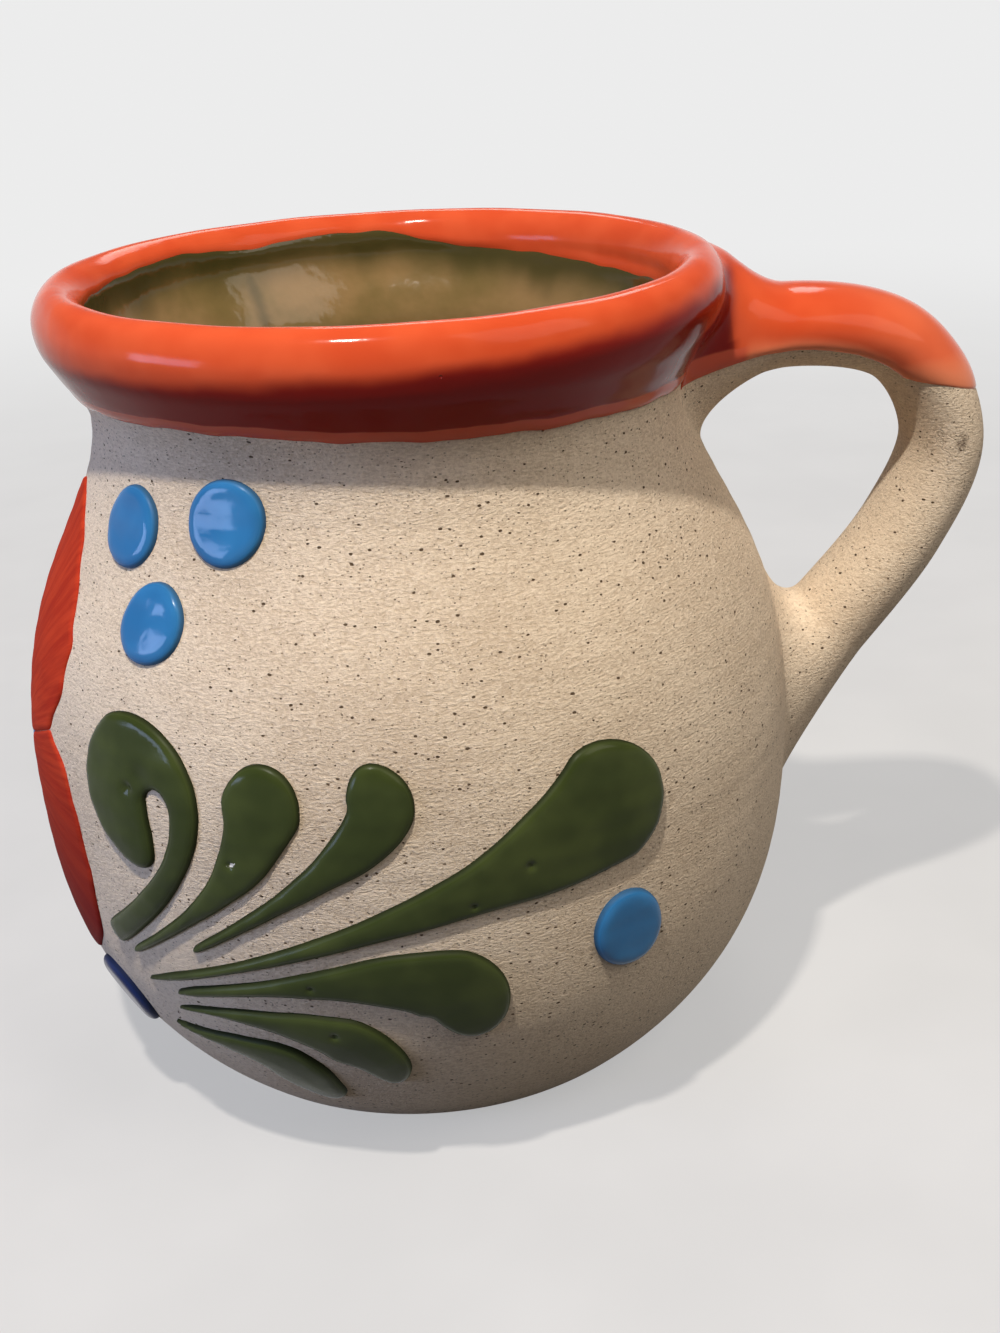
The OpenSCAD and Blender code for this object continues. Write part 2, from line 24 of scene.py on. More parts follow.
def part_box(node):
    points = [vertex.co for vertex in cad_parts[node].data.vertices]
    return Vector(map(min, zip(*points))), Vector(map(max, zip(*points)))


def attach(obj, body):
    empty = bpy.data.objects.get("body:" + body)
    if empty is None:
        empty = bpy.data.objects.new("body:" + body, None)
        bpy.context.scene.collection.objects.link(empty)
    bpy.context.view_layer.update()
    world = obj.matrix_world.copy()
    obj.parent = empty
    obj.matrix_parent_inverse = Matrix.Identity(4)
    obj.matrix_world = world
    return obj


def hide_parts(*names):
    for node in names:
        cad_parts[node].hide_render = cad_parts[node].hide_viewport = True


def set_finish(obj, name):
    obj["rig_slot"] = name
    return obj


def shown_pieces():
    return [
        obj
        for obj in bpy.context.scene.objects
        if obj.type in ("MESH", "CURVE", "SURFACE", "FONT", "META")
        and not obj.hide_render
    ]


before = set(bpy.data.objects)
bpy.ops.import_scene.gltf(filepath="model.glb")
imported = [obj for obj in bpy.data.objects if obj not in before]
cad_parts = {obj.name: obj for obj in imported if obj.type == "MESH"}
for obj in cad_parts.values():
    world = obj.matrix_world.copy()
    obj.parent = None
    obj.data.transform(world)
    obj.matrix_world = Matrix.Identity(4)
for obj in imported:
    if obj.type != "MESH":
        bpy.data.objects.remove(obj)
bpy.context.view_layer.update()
MM = 0.001
print("the frame has", len(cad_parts), "nodes")

# %% [markdown]
# ## The thrown wall
#
# A potter reads a pot as one line: out from the foot, round the belly, in at the shoulder and the neck,
# and over the rolled lip. It could be modelled by pushing a sphere about, but then the slip and the glaze
# would have nothing exact to lie on. So the line is written as stations of height, radius and slope with a
# smooth cubic between them, and every layer asks the same function where the clay is.

# %% The line of the wall
MUG_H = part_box("pot")[1].z / MM
BELLY_Z, BELLY_R = 40.0, 46.0
SHOULDER_Z, SHOULDER_R, SHOULDER_LEAN = MUG_H - 34.0, BELLY_R - 4.4, 0.45
NECK_Z, NECK_R = MUG_H - 14.5, BELLY_R - 12.0
LIP_CROWN, LIP_T = 4.0, 5.2
LIP_Z, LIP_R = MUG_H - LIP_CROWN, NECK_R + 4.5
FOOT_R, FOOT_FLARE, FOOT_ROUND = 31.0, 1.08, 1.2
WALL_T, FLOOR_T, HEEL_R = 4.6, 6.0, 5.0


def curve_r(stations, z):
    """Radius at the heights z of the smooth line through stations of height, radius and slope."""
    rows = np.array(stations, float)
    z = np.asarray(z, float)
    i = np.clip(np.searchsorted(rows[:, 0], z) - 1, 0, len(rows) - 2)
    a, b = rows[i], rows[i + 1]
    h = b[..., 0] - a[..., 0]
    t = (z - a[..., 0]) / h
    u = 1 - t
    ends = a[..., 1] * (1 + 2 * t) * u * u + b[..., 1] * (3 - 2 * t) * t * t
    return ends + h * t * u * (a[..., 2] * u - b[..., 2] * t)


OUTER = [
    (0, FOOT_R, FOOT_FLARE),
    (BELLY_Z, BELLY_R, 0),
    (SHOULDER_Z, SHOULDER_R, -SHOULDER_LEAN),
    (NECK_Z, NECK_R, 0),
    (LIP_Z, LIP_R, 0),
]


def wall_r(z):
    """Radius of the outside: the thrown line up to the lip, and then the lip's rounded crown."""
    z = np.asarray(z, float)
    above = np.clip((z - LIP_Z) / LIP_CROWN, 0, 0.999)
    crown_r = LIP_R - LIP_T / 2 * (1 - np.sqrt(1 - above**2))
    return np.where(z > LIP_Z, crown_r, curve_r(OUTER, z))


def wall_lean(z, step=0.01):
    """Slope of the wall, run over rise."""
    return (wall_r(np.asarray(z) + step) - wall_r(np.asarray(z) - step)) / (2 * step)


def wall_run(z):
    """Length along the wall for one unit of height."""
    return np.sqrt(1 + wall_lean(z) ** 2)


print("belly", wall_r(BELLY_Z), "neck", wall_r(NECK_Z), "lip", wall_r(LIP_Z))

# %% [markdown]
# ## The hand of the potter
#
# A thrown pot is never exactly round. Its wall wanders by a few tenths of a millimetre, a faint spiral
# climbs it where the fingers drew the clay up, and its lip dips and rises. Random noise would do, but a few
# slow waves are enough, they close on themselves all the way round, and they give the same pot each time.

# %% Waves in the wall and the lip
def wander(turn, z):
    """How far the wall lies outside its true circle."""
    a = np.radians(turn)
    grip = np.clip(np.asarray(z) / BELLY_Z, 0, 1) ** 2
    slow = 0.14 * np.sin(2 * a + 0.7) + 0.09 * np.sin(3 * a + 2.1 + np.asarray(z) / 40)
    spiral = 0.025 * np.sin(2 * math.pi * np.asarray(z) / 3.1 + a)
    return (slow + spiral - 0.12) * grip


def lip_dip(turn, z):
    """How far the lip lies below its highest place."""
    a = np.radians(turn)
    near_lip = np.clip((np.asarray(z) - NECK_Z) / (MUG_H - NECK_Z), 0, 1)
    beside_handle = 0.55 * np.exp(3 * (np.cos(a - 0.45) - 1))
    return near_lip**2 * (0.3 - 0.17 * np.sin(2 * a + 1.0) - 0.1 * np.sin(3 * a + 0.4) + beside_handle)


def wall(turn, z, lift=0.0):
    """Points on the outside of the wall, lifted square off it."""
    k = wall_run(z)
    r = wall_r(z) + wander(turn, z) + lift / k
    a = np.radians(turn)
    up = z - lift * wall_lean(z) / k - lip_dip(turn, z)
    return np.stack(np.broadcast_arrays(r * np.cos(a), r * np.sin(a), up), -1)


def turn_of(length, r):
    """The turn that a length round the pot takes at one radius."""
    return np.degrees(length / r)


print("the wall wanders by", np.round(np.ptp(wander(np.arange(360), BELLY_Z)), 2), "mm")

# %% [markdown]
# ## The whole skin of the pot
#
# The pot's skin runs from under the foot, up the outside, over the lip, down the inside and across the
# floor. It is kept as one list of points with the distance travelled at each, so a coat of glaze can be
# asked for by distance: it starts about 12 mm below the lip outside and ends a few millimetres below it
# inside.

# %% The skin as one long line
def corner(a, knee, b, steps=10):
    """A soft corner from a to b, pulled towards the knee."""
    t = np.linspace(0, 1, steps)[:, None]
    return (1 - t) ** 2 * np.array(a) + 2 * t * (1 - t) * np.array(knee) + t**2 * np.array(b)


def run(stations, low, high, step=0.35):
    """Points of a smooth line from one height to another."""
    z = np.linspace(low, high, int(abs(high - low) / step) + 2)
    return np.stack([curve_r(stations, z), z], 1)


INNER = [
    (FLOOR_T, wall_r(FLOOR_T) - WALL_T * wall_run(FLOOR_T), wall_lean(FLOOR_T)),
    (BELLY_Z, BELLY_R - WALL_T, 0),
    (SHOULDER_Z, SHOULDER_R - WALL_T * wall_run(SHOULDER_Z), -SHOULDER_LEAN),
    (NECK_Z, NECK_R - WALL_T, 0),
    (LIP_Z, LIP_R - LIP_T, 0),
]
HEEL_Z = FLOOR_T + HEEL_R
foot = corner((FOOT_R - FOOT_ROUND, 0), (FOOT_R, 0), (wall_r(FOOT_ROUND), FOOT_ROUND))
outside = run(OUTER, FOOT_ROUND, LIP_Z)
crown_a = np.radians(np.linspace(0, 180, 40))
crown = np.stack([LIP_R - LIP_T / 2 * (1 - np.cos(crown_a)), LIP_Z + LIP_CROWN * np.sin(crown_a)], 1)
inside = run(INNER, LIP_Z, HEEL_Z)
heel = corner((curve_r(INNER, HEEL_Z), HEEL_Z), (INNER[0][1], FLOOR_T), (INNER[0][1] - HEEL_R, FLOOR_T))
floor_line = np.array([[INNER[0][1] - HEEL_R, FLOOR_T], [0.01, FLOOR_T]])
line = np.concatenate([[[0.01, 0]], foot, outside[1:], crown[1:], inside[1:], heel[1:], floor_line[1:]])
travel = np.concatenate([[0], np.cumsum(np.linalg.norm(np.diff(line, axis=0), axis=1))])
FOOT_AT, LIP_AT = travel[1], travel[len(foot) + len(outside) - 1]
CREST_AT = LIP_AT + (travel[len(foot) + len(outside) + len(crown) - 2] - LIP_AT) / 2
INSIDE_AT = 2 * CREST_AT - LIP_AT


def outside_at(z):
    """Distance along the skin of a height on the outside."""
    return np.interp(z, line[travel <= LIP_AT, 1], travel[travel <= LIP_AT])


def inside_at(z):
    """Distance along the skin of a height on the inside."""
    down = travel >= CREST_AT
    return np.interp(-np.asarray(z), -line[down, 1], travel[down])


def skin(turn, at, lift=0.0, blur=0.3):
    """Points at distances along the skin, lifted square off it."""
    r, z = (np.interp(at, travel, line[:, i]) for i in (0, 1))
    ahead = [np.interp(at + blur, travel, line[:, i]) for i in (0, 1)]
    behind = [np.interp(at - blur, travel, line[:, i]) for i in (0, 1)]
    dr, dz = ahead[0] - behind[0], ahead[1] - behind[1]
    d = np.hypot(dr, dz)
    r = r + lift * dz / d + wander(turn, z) * np.clip(r / FOOT_R, 0, 1)
    z = z - lift * dr / d - lip_dip(turn, z)
    a = np.radians(turn)
    return np.stack(np.broadcast_arrays(r * np.cos(a), r * np.sin(a), z), -1)


print("the skin is", round(travel[-1]), "mm long, and its crest is at", round(CREST_AT))

# %% [markdown]
# ## Closed meshes from rings
#
# A pot or a handle is a row of rings joined to each other and closed at both ends. A coat of glaze is a
# thin slab: a top, a bottom that is sunk a hair into the clay, and its sides. Both are made here once.

# %% Rings, slabs and meshes
def make_piece(name, points, faces, slot, *nodes):
    """A smooth mesh in the frame, which rides on the mug and stands for its CAD nodes."""
    mesh = bpy.data.meshes.new(name)
    mesh.from_pydata((np.asarray(points, float) * MM).tolist(), [], [list(map(int, f)) for f in faces])
    tidy = bmesh.new()
    tidy.from_mesh(mesh)
    bmesh.ops.recalc_face_normals(tidy, faces=tidy.faces)
    tidy.to_mesh(mesh)
    tidy.free()
    mesh.polygons.foreach_set("use_smooth", np.ones(len(mesh.polygons), bool))
    piece = bpy.data.objects.new(name, mesh)
    bpy.context.scene.collection.objects.link(piece)
    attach(piece, "root")
    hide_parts(*nodes)
    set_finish(piece, slot)
    return piece


def mark_inset(piece, distances):
    """Store on each point how far it lies from the edge of its layer, in millimetres."""
    inset = piece.data.attributes.new("inset", "FLOAT", "POINT")
    inset.data.foreach_set("value", np.asarray(distances, np.float32).ravel())


def ring_faces(rows, cols, closed=False):
    """Quads between rows of closed rings, and between the last and the first if closed."""
    last = rows if closed else rows - 1
    i, j = np.meshgrid(np.arange(last), np.arange(cols), indexing="ij")
    i2, j2 = (i + 1) % rows, (j + 1) % cols
    quads = np.stack([i * cols + j, i * cols + j2, i2 * cols + j2, i2 * cols + j], -1)
    return quads.reshape(-1, 4).tolist()


def capped_rings(rings, first, last):
    """Points and faces of rings that close on a point at each end."""
    rows, cols = rings.shape[:2]
    points = np.concatenate([rings.reshape(-1, 3), [first], [last]])
    j = np.arange(cols)
    start, end = rows * cols, rows * cols + 1
    fans = [(start, (k + 1) % cols, k) for k in j]
    fans += [(end, (rows - 1) * cols + k, (rows - 1) * cols + (k + 1) % cols) for k in j]
    return points, ring_faces(rows, cols) + fans


def slab(top, bottom):
    """Points and faces of a thin sheet with a top, a bottom and sides."""
    rows, cols = top.shape[:2]
    across = np.concatenate([top, bottom[:, ::-1]], axis=1)
    faces = ring_faces(rows, 2 * cols)
    for row, turned in ((0, 1), (rows - 1, -1)):
        base = row * 2 * cols
        for j in range(cols - 1):
            quad = (base + j, base + j + 1, base + 2 * cols - 2 - j, base + 2 * cols - 1 - j)
            faces.append(quad[::turned])
    return across.reshape(-1, 3), faces


# %% [markdown]
# ## The pot
#
# Rings of the skin all the way from under the foot to the middle of the floor. The rings lie closer
# together over the lip and at the foot's edge, where the line turns quickly.

# %% Throw the pot
POT_TURNS = np.arange(0, 360, 1.25)
pot_rows = np.unique(np.concatenate([
    np.arange(FOOT_AT, travel[-1], 0.8),
    np.arange(FOOT_AT, FOOT_AT + 3, 0.2),
    np.arange(LIP_AT, INSIDE_AT, 0.4),
    [1.0, FOOT_AT / 2],
]))
pot_rings = skin(POT_TURNS[None, :], pot_rows[:, None])
pot_points, pot_faces = capped_rings(pot_rings, (0, 0, 0), (0, 0, FLOOR_T))
pot = make_piece("thrown_pot", pot_points, pot_faces, "clay", "pot")
print("pot", len(pot.data.polygons), "faces")

# %% [markdown]
# ## The handle
#
# The handle is pulled from a lump of wet clay, bent over the finger and luted to the neck and the belly.
# Its ends are smeared into the wall, so there is no seam. Here it is a swept oval, and at each end the
# rings are drawn out with a cubic that leaves the wall along the wall. That makes the fillet of smeared
# clay, and it comes out tangent to the pot. Only the back of the upper end stands off the lip at once: it
# laps over the lip with a web of clay behind it, because that is where a full mug pulls. Under the arch the
# upper end is drawn out further, so its fillet is fuller there.

# %% Sweep the strap
UPPER_Z, UPPER_H, UPPER_W = MUG_H - 12.0, 23.0, 23.0
LOWER_Z, LOWER_H, LOWER_W = BELLY_Z + 0.6, 31.0, 24.0
STRAP_W, STRAP_T, STRAP_OUT, ROOT_FILLET = 14.6, 9.0, 19.6, 5.0
ARCH_Z = MUG_H - 6.3 - STRAP_T / 2
WEB_T, WEB_END_T, FIRST_T, LAST_T = 0.4 * STRAP_T, 0.17, 0.115, 0.84
STRAP_SHARES = [(0.02, 1), (0.7, 0.93), (1, 0.68), (0.79, 0.41), (0.37, 0.165)]
RING = np.radians(np.arange(0, 360, 3.75))
strap_line = np.array(
    [(NECK_R, ARCH_Z - 0.33 * STRAP_T)]
    + [(BELLY_R + x * STRAP_OUT, LOWER_Z + z * (ARCH_Z - LOWER_Z)) for x, z in STRAP_SHARES]
    + [(wall_r(LOWER_Z), LOWER_Z)]
)


def along(path, t):
    """A smooth line through the points of a path, from 0 at its first to 1 at its last."""
    p = np.concatenate([[2 * path[0] - path[1]], path, [2 * path[-1] - path[-2]]])
    legs = len(path) - 1
    i = np.minimum(np.floor(np.asarray(t) * legs).astype(int), legs - 1)
    f = (np.asarray(t) * legs - i)[..., None]
    a, b, c, d = p[i], p[i + 1], p[i + 2], p[i + 3]
    return b + f / 2 * (c - a + f * (2 * a - 5 * b + 4 * c - d + f * (3 * b - a - 3 * c + d)))


def strap_way(t, step=0.01):
    """The way that the strap goes, as a unit."""
    d = along(strap_line, np.minimum(t + step, 1)) - along(strap_line, np.maximum(t - step, 0))
    return d / np.linalg.norm(d, axis=-1, keepdims=True)


def strap_ring(t):
    """Oval rings square to the strap's line, a little uneven, as fingers leave them."""
    t = np.asarray(t, float)[:, None]
    at, way = along(strap_line, t[:, 0]), strap_way(t[:, 0])
    uneven = 1 + 0.012 * np.sin(9 * t + 2 * RING) + 0.01 * np.sin(17 * t + 3 * RING + 1)
    web = WEB_T * (np.maximum(WEB_END_T - t, 0) / (WEB_END_T - FIRST_T)) ** 2
    deep = STRAP_T / 2 * (1 + 0.16 * t * t) * uneven * np.cos(RING) + web * np.maximum(np.cos(RING), 0)
    wide = STRAP_W / 2 * (1 + 0.1 * (2 * t - 1) ** 2) * uneven * np.sin(RING)
    return np.stack([at[:, :1] - deep * way[:, 1:], wide, at[:, 1:] + deep * way[:, :1]], -1)


def root_ring(z, h, w, side, scale=1.0, grow=0.0, lift=-0.03, tilt=0.0):
    """The edge of a root on the wall. Its side towards the arch can be tilted off the wall."""
    dz = (scale * h / 2 + grow) * np.cos(RING)
    off_wall = lift + tilt * np.maximum(np.cos(RING), 0)
    return wall(turn_of((scale * w / 2 + grow) * np.sin(RING), wall_r(z)), z + side * dz, off_wall)


def loft(a, way_a, b, way_b, steps):
    """Rings between two rings, which leave the first and reach the second along their own ways."""
    t = np.linspace(0, 1, steps + 1)[1:-1, None, None]
    u = 1 - t
    return a * (1 + 2 * t) * u * u + way_a * t * u * u + b * (3 - 2 * t) * t * t - way_b * t * t * u


def ring_way(t, length, step=0.01):
    """The way that each point of the strap goes, with a length."""
    way = np.subtract(*strap_ring([t + step, t]))
    return way * length / np.linalg.norm(way, axis=1, keepdims=True)


UPPER = (UPPER_Z, UPPER_H, UPPER_W, 1)
LOWER = (LOWER_Z, LOWER_H, LOWER_W, -1)
LEAVE, NEARBY, FULLER_BELOW = 0.4, 0.01, 0.8
upper, lower = root_ring(*UPPER), root_ring(*LOWER)
straps = strap_ring(np.linspace(FIRST_T, LAST_T, 90))
inward = NEARBY * ROOT_FILLET
upper_way = (root_ring(*UPPER, grow=-inward, tilt=LEAVE * inward) - upper) / NEARBY
upper_way *= 1 + FULLER_BELOW * np.maximum(-np.cos(RING), 0)[:, None]
lower_way = root_ring(*LOWER, grow=ROOT_FILLET) - lower
strap_rings = np.concatenate([
    upper[None],
    loft(upper, upper_way, straps[0], ring_way(FIRST_T, ROOT_FILLET), 24),
    straps,
    loft(straps[-1], ring_way(LAST_T, 2 * ROOT_FILLET), lower, lower_way, 30),
    lower[None],
])
ends = [root_ring(*root, scale=0.9, lift=-0.8)[None] for root in (UPPER, LOWER)]
handle_rings = np.concatenate([ends[0], strap_rings, ends[1]])
handle_points, handle_faces = capped_rings(
    handle_rings, wall(0, UPPER_Z, -1.0), wall(0, LOWER_Z, -1.0)
)
handle = make_piece("pulled_handle", handle_points, handle_faces, "clay", "handle")
print("handle", np.round(np.ptp(handle_points, axis=0), 1), "mm")

# %% [markdown]
# ## Coats of glaze
#
# A coat is as thick as a fingernail. Its edge doesn't stop in a step: surface tension rounds it down to
# the clay, with a slightly fuller bead behind it. The thickness is worked out from the distance to the
# coat's nearest edge, and the rows crowd together at the edges so that the rounding is really there.

# %% Thickness of a coat near its edge
COAT_T, COAT_EDGE, SUNK = 0.34, 0.8, 0.07


def coat_lift(to_edge, thick=COAT_T):
    """Height of a coat above the clay at a distance from its edge."""
    inner = 1 - np.minimum(to_edge / COAT_EDGE, 1)
    bead = 0.06 * np.exp(-(((to_edge - 1.1) / 0.6) ** 2))
    return (thick + bead) * np.sqrt(1 - inner**2)


def crowded(steps):
    """Shares from 0 to 1 that lie closer together at both ends."""
    return (1 - np.cos(np.linspace(0, math.pi, steps + 1))) / 2


def waves(turn, *terms):
    """A sum of waves round the pot, each a count, a height and a start."""
    return sum(h * np.sin(n * np.radians(turn) + start) for n, h, start in terms)


# %% [markdown]
# ## The orange rim
#
# The rim was dipped, with the mug held upside down at a slight lean. So the orange reaches 11 to 14 mm down
# the outside, lowest at the handle. Inside, its edge lies 2 to 6 mm below the lip. A straight cut would look
# machined. So each edge is a list of turns and of depths below the lip, smoothed, with small waves on top.

# %% Dip the rim
COAT_TURNS = np.arange(0, 360, 0.8)
EDGE_TURNS = [-180, -162, -142, -123, -105, -91, -76, -56, -47, -38, -26, 0, 30, 60, 100, 140, 180]
EDGE_DROPS = [
    11.6, 11.4, 11.0, 10.6, 11.1, 11.7, 12.1, 12.6, 12.9, 13.3, 13.7, 13.9, 13.5, 12.7, 11.8, 11.1, 11.6,
]


def rim_edge(turn):
    """Height of the orange glaze's lower edge."""
    turn = (np.asarray(turn) + 180) % 360 - 180
    near = [np.interp(turn + shift, EDGE_TURNS, EDGE_DROPS, period=360) for shift in (-8, -4, 0, 4, 8)]
    return MUG_H - np.mean(near, axis=0) + waves(turn, (19, 0.09, 0.3), (31, 0.06, 1.1), (53, 0.03, 2.0))


INNER_TURNS = [
    -180, -150, -120, -90, -60, -30, 0, 19, 34, 43, 52, 62,
    73, 81, 87, 96, 104, 110, 117, 123, 132, 141, 154, 168,
]
INNER_DROPS = [
    3.1, 3.4, 2.9, 3.6, 4.4, 3.9, 5.6, 6.3, 6.2, 5.8, 5.5, 5.2,
    4.6, 3.6, 2.4, 2.4, 2.3, 2.5, 3.1, 3.1, 2.4, 2.2, 2.7, 3.0,
]


def lining_edge(turn):
    """Height of the edge between the orange and the lining."""
    turn = (np.asarray(turn) + 180) % 360 - 180
    near = [np.interp(turn + shift, INNER_TURNS, INNER_DROPS, period=360) for shift in (-3, 0, 3)]
    return MUG_H - np.mean(near, axis=0) + waves(turn, (29, 0.06, 0.6), (47, 0.03, 2.2))


rim_from = outside_at(rim_edge(COAT_TURNS))
rim_to = inside_at(lining_edge(COAT_TURNS))
rim_rows = rim_from + (rim_to - rim_from) * crowded(64)[:, None]
rim_inset = np.minimum(rim_rows - rim_from, rim_to - rim_rows)
rim_lift = coat_lift(rim_inset)
rim_lift *= 1 + 0.12 * waves(COAT_TURNS, (11, 0.5, 0.2), (17, 0.5, 1.4))
rim_rings = np.concatenate([
    skin(COAT_TURNS[None, :], rim_rows, rim_lift),
    skin(COAT_TURNS[None, :], rim_rows, -SUNK)[::-1],
])
rim_points, rim_faces = rim_rings.reshape(-1, 3), ring_faces(*rim_rings.shape[:2], closed=True)
rim = make_piece("orange_rim", rim_points, rim_faces, "orange_glaze", "rim_glaze")
mark_inset(rim, [rim_inset, 0 * rim_inset])
edge_heights = rim_edge(COAT_TURNS)
print("rim glaze from", np.round(edge_heights.min(), 1), "to", np.round(edge_heights.max(), 1))

# %% [markdown]
# ## The orange back of the handle
#
# The same dip took the back and sides of the handle, so the glaze stops at a level line, where it is
# thinnest. It lies on the strap's own rings, so it needs a point of the handle for any place along it and
# round it. One pair of lists says how far round the coat reaches at lengths along the handle, and another
# how high its end lies at angles round it. At the root it meets the rim's coat at the same height, so the
# two read as one.

# %% Dip the handle
row_length = np.concatenate([[0], np.cumsum(np.linalg.norm(np.diff(strap_rings[:, 0], axis=0), axis=1))])


def handle_at(length, angle):
    """Points of the handle at lengths along its back and angles round it, in degrees from its back."""
    row = np.interp(length, row_length, np.arange(len(row_length)))
    col = (np.asarray(angle) % 360) / 360 * len(RING)
    i, j = np.minimum(row.astype(int), len(row_length) - 2), np.floor(col).astype(int)
    f, g = (row - i)[..., None], (col - j)[..., None]
    j, j2 = j % len(RING), (j + 1) % len(RING)
    near = strap_rings[i, j] * (1 - g) + strap_rings[i, j2] * g
    far = strap_rings[i + 1, j] * (1 - g) + strap_rings[i + 1, j2] * g
    return near * (1 - f) + far * f


def handle_lifted(length, angle, lift, step=0.6):
    """The same points, lifted square off the handle."""
    ahead = handle_at(length + step, angle) - handle_at(np.maximum(length - step, 0), angle)
    across = handle_at(length, angle + 5) - handle_at(length, angle - 5)
    out = np.cross(ahead, across)
    out /= np.linalg.norm(out, axis=-1, keepdims=True)
    return handle_at(length, angle) + lift[..., None] * out


SIDE_LENGTHS = (0, 1.2, 3.5, 7.5, 12.8, 18.8, 22.2, 26)
SIDE_ANGLES = (104.5, 103.5, 102, 107, 109, 113, 119, 124)
CUT_ANGLES, CUT_HEIGHTS = (0, 35, 85, 113, 125), (75.5, 76.2, 77.5, 78.1, 78.6)
CUT_TAPER, STRAP_R, CUT_FROM, CUT_BY = 0.3, 6.0, 20, 0.6
coat_cols = 2 * crowded(64) - 1
lengths = np.linspace(CUT_FROM, row_length[-1] * CUT_BY, 200)
cut_lengths = []
for share in coat_cols:
    angle = SIDE_ANGLES[-1] * share
    level = np.interp(abs(angle), CUT_ANGLES, CUT_HEIGHTS) + 0.08 * math.sin(7 * share + 1)
    heights = handle_at(lengths, np.full(len(lengths), angle))[:, 2]
    cut_lengths.append(np.interp(-level, -heights, lengths))
along_shares = crowded(100)[:, None] * 0.5 + np.linspace(0, 1, 101)[:, None] * 0.5
coat_lengths = along_shares * np.array(cut_lengths)
side_angle = np.interp(coat_lengths, SIDE_LENGTHS, SIDE_ANGLES) + 0.7 * np.sin(coat_lengths / 2.3)
coat_angles = side_angle * coat_cols
to_side = np.radians(side_angle - np.abs(coat_angles)) * STRAP_R
to_cut = np.array(cut_lengths) - coat_lengths
handle_inset = np.minimum(to_side, CUT_TAPER * to_cut)
coat_top = handle_lifted(coat_lengths, coat_angles, coat_lift(handle_inset, COAT_T - 0.02))
coat_bottom = handle_lifted(coat_lengths, coat_angles, np.full(coat_lengths.shape, -SUNK))
dipped = make_piece("orange_handle_back", *slab(coat_top, coat_bottom), "orange_glaze", "handle_glaze")
mark_inset(dipped, np.concatenate([handle_inset, 0 * handle_inset], axis=1))
print("handle glaze is", np.round(max(cut_lengths)), "mm long")

# %% [markdown]
# ## The lining
#
# The inside is coated down to the floor. Its top edge is tucked in just above the orange's lower edge, and
# both are rounded there, so they meet in a shallow groove as two glazes do. Its underside lies in the clay,
# so a quarter of the rows is enough for it.

# %% Pour the lining
LINING_T, LINING_TUCK, LINING_STOP = 0.3, 0.9, 0.5
lining_from = inside_at(lining_edge(COAT_TURNS)) - LINING_TUCK
row_shares = np.linspace(0, 1, 121)[:, None] ** 1.25
lining_rows = lining_from + (travel[-1] - LINING_STOP - lining_from) * row_shares
lining_inset = lining_rows - lining_from
lining_top = skin(COAT_TURNS[None, :], lining_rows, coat_lift(lining_inset, LINING_T))
under_rows = lining_rows[::4]
lining_bottom = skin(COAT_TURNS[None, :], under_rows, -SUNK)
lining_points, lining_faces = capped_rings(
    np.concatenate([lining_bottom[::-1], lining_top]), (0, 0, FLOOR_T - SUNK), (0, 0, FLOOR_T + LINING_T)
)
lining = make_piece("poured_lining", lining_points, lining_faces, "lining_glaze", "lining_glaze")
mark_inset(lining, np.concatenate([0 * under_rows.ravel(), lining_inset.ravel(), [99, 99]]))
print("lining", len(lining.data.polygons), "faces")

# %% [markdown]
# ## Slip, laid in an outline
#
# Slip is clay as thick as cream, squeezed from a bag. It stands up from the wall with a round shoulder and
# a soft top. A curve with a bevel would give a sausage, and a texture would give no edge at all. So each
# piece starts from its outline on the wall. The outline is filled with triangles, finest at the edge, and
# every point is lifted by how far in it lies.

# %% Even and soften an outline
def even(outline, step=0.3):
    """The same closed outline with its points a step apart."""
    closed = np.concatenate([outline, outline[:1]])
    way = np.diff(closed, axis=0)
    size = np.hypot(np.radians(way[:, 0]) * wall_r(outline[:, 1]), way[:, 1] * wall_run(outline[:, 1]))
    at = np.concatenate([[0], np.cumsum(size)])
    places = np.linspace(0, at[-1], max(12, int(at[-1] / step)), endpoint=False)
    return np.stack([np.interp(places, at, closed[:, i]) for i in (0, 1)], 1)


def soften(outline, times):
    """The same outline, with each point drawn towards its neighbours some times."""
    for _ in range(times):
        outline = (np.roll(outline, 1, axis=0) + 2 * outline + np.roll(outline, -1, axis=0)) / 4
    return outline


def is_inside(points, outline):
    """Which points lie inside a closed outline."""
    x, y = points[:, :1], points[:, 1:]
    a, b = outline, np.roll(outline, -1, axis=0)
    spans = (a[:, 1] > y) != (b[:, 1] > y)
    rise = np.where(b[:, 1] == a[:, 1], 1e-9, b[:, 1] - a[:, 1])
    crossing = a[:, 0] + (y - a[:, 1]) / rise * (b[:, 0] - a[:, 0])
    return (spans & (x < crossing)).sum(axis=1) % 2 == 1


def to_outline(points, edge):
    """Distance of points in space from a closed line."""
    a, b = edge, np.roll(edge, -1, axis=0)
    way = b - a
    size = np.maximum((way**2).sum(axis=1), 1e-12)
    best = np.full(len(points), 1e9)
    for first in range(0, len(points), 1000):
        from_a = points[first:first + 1000, None] - a
        t = np.clip((from_a * way).sum(axis=-1) / size, 0, 1)
        gap = np.linalg.norm(from_a - t[..., None] * way, axis=-1)
        best[first:first + 1000] = gap.min(axis=1)
    return best


# %% [markdown]
# The fill is a Delaunay triangulation: the outline is kept as its edge, with a few closer rows of points
# just inside it for the round shoulder, and an even field of points in the middle. Rings of points round
# each dent give its slope something to bend.

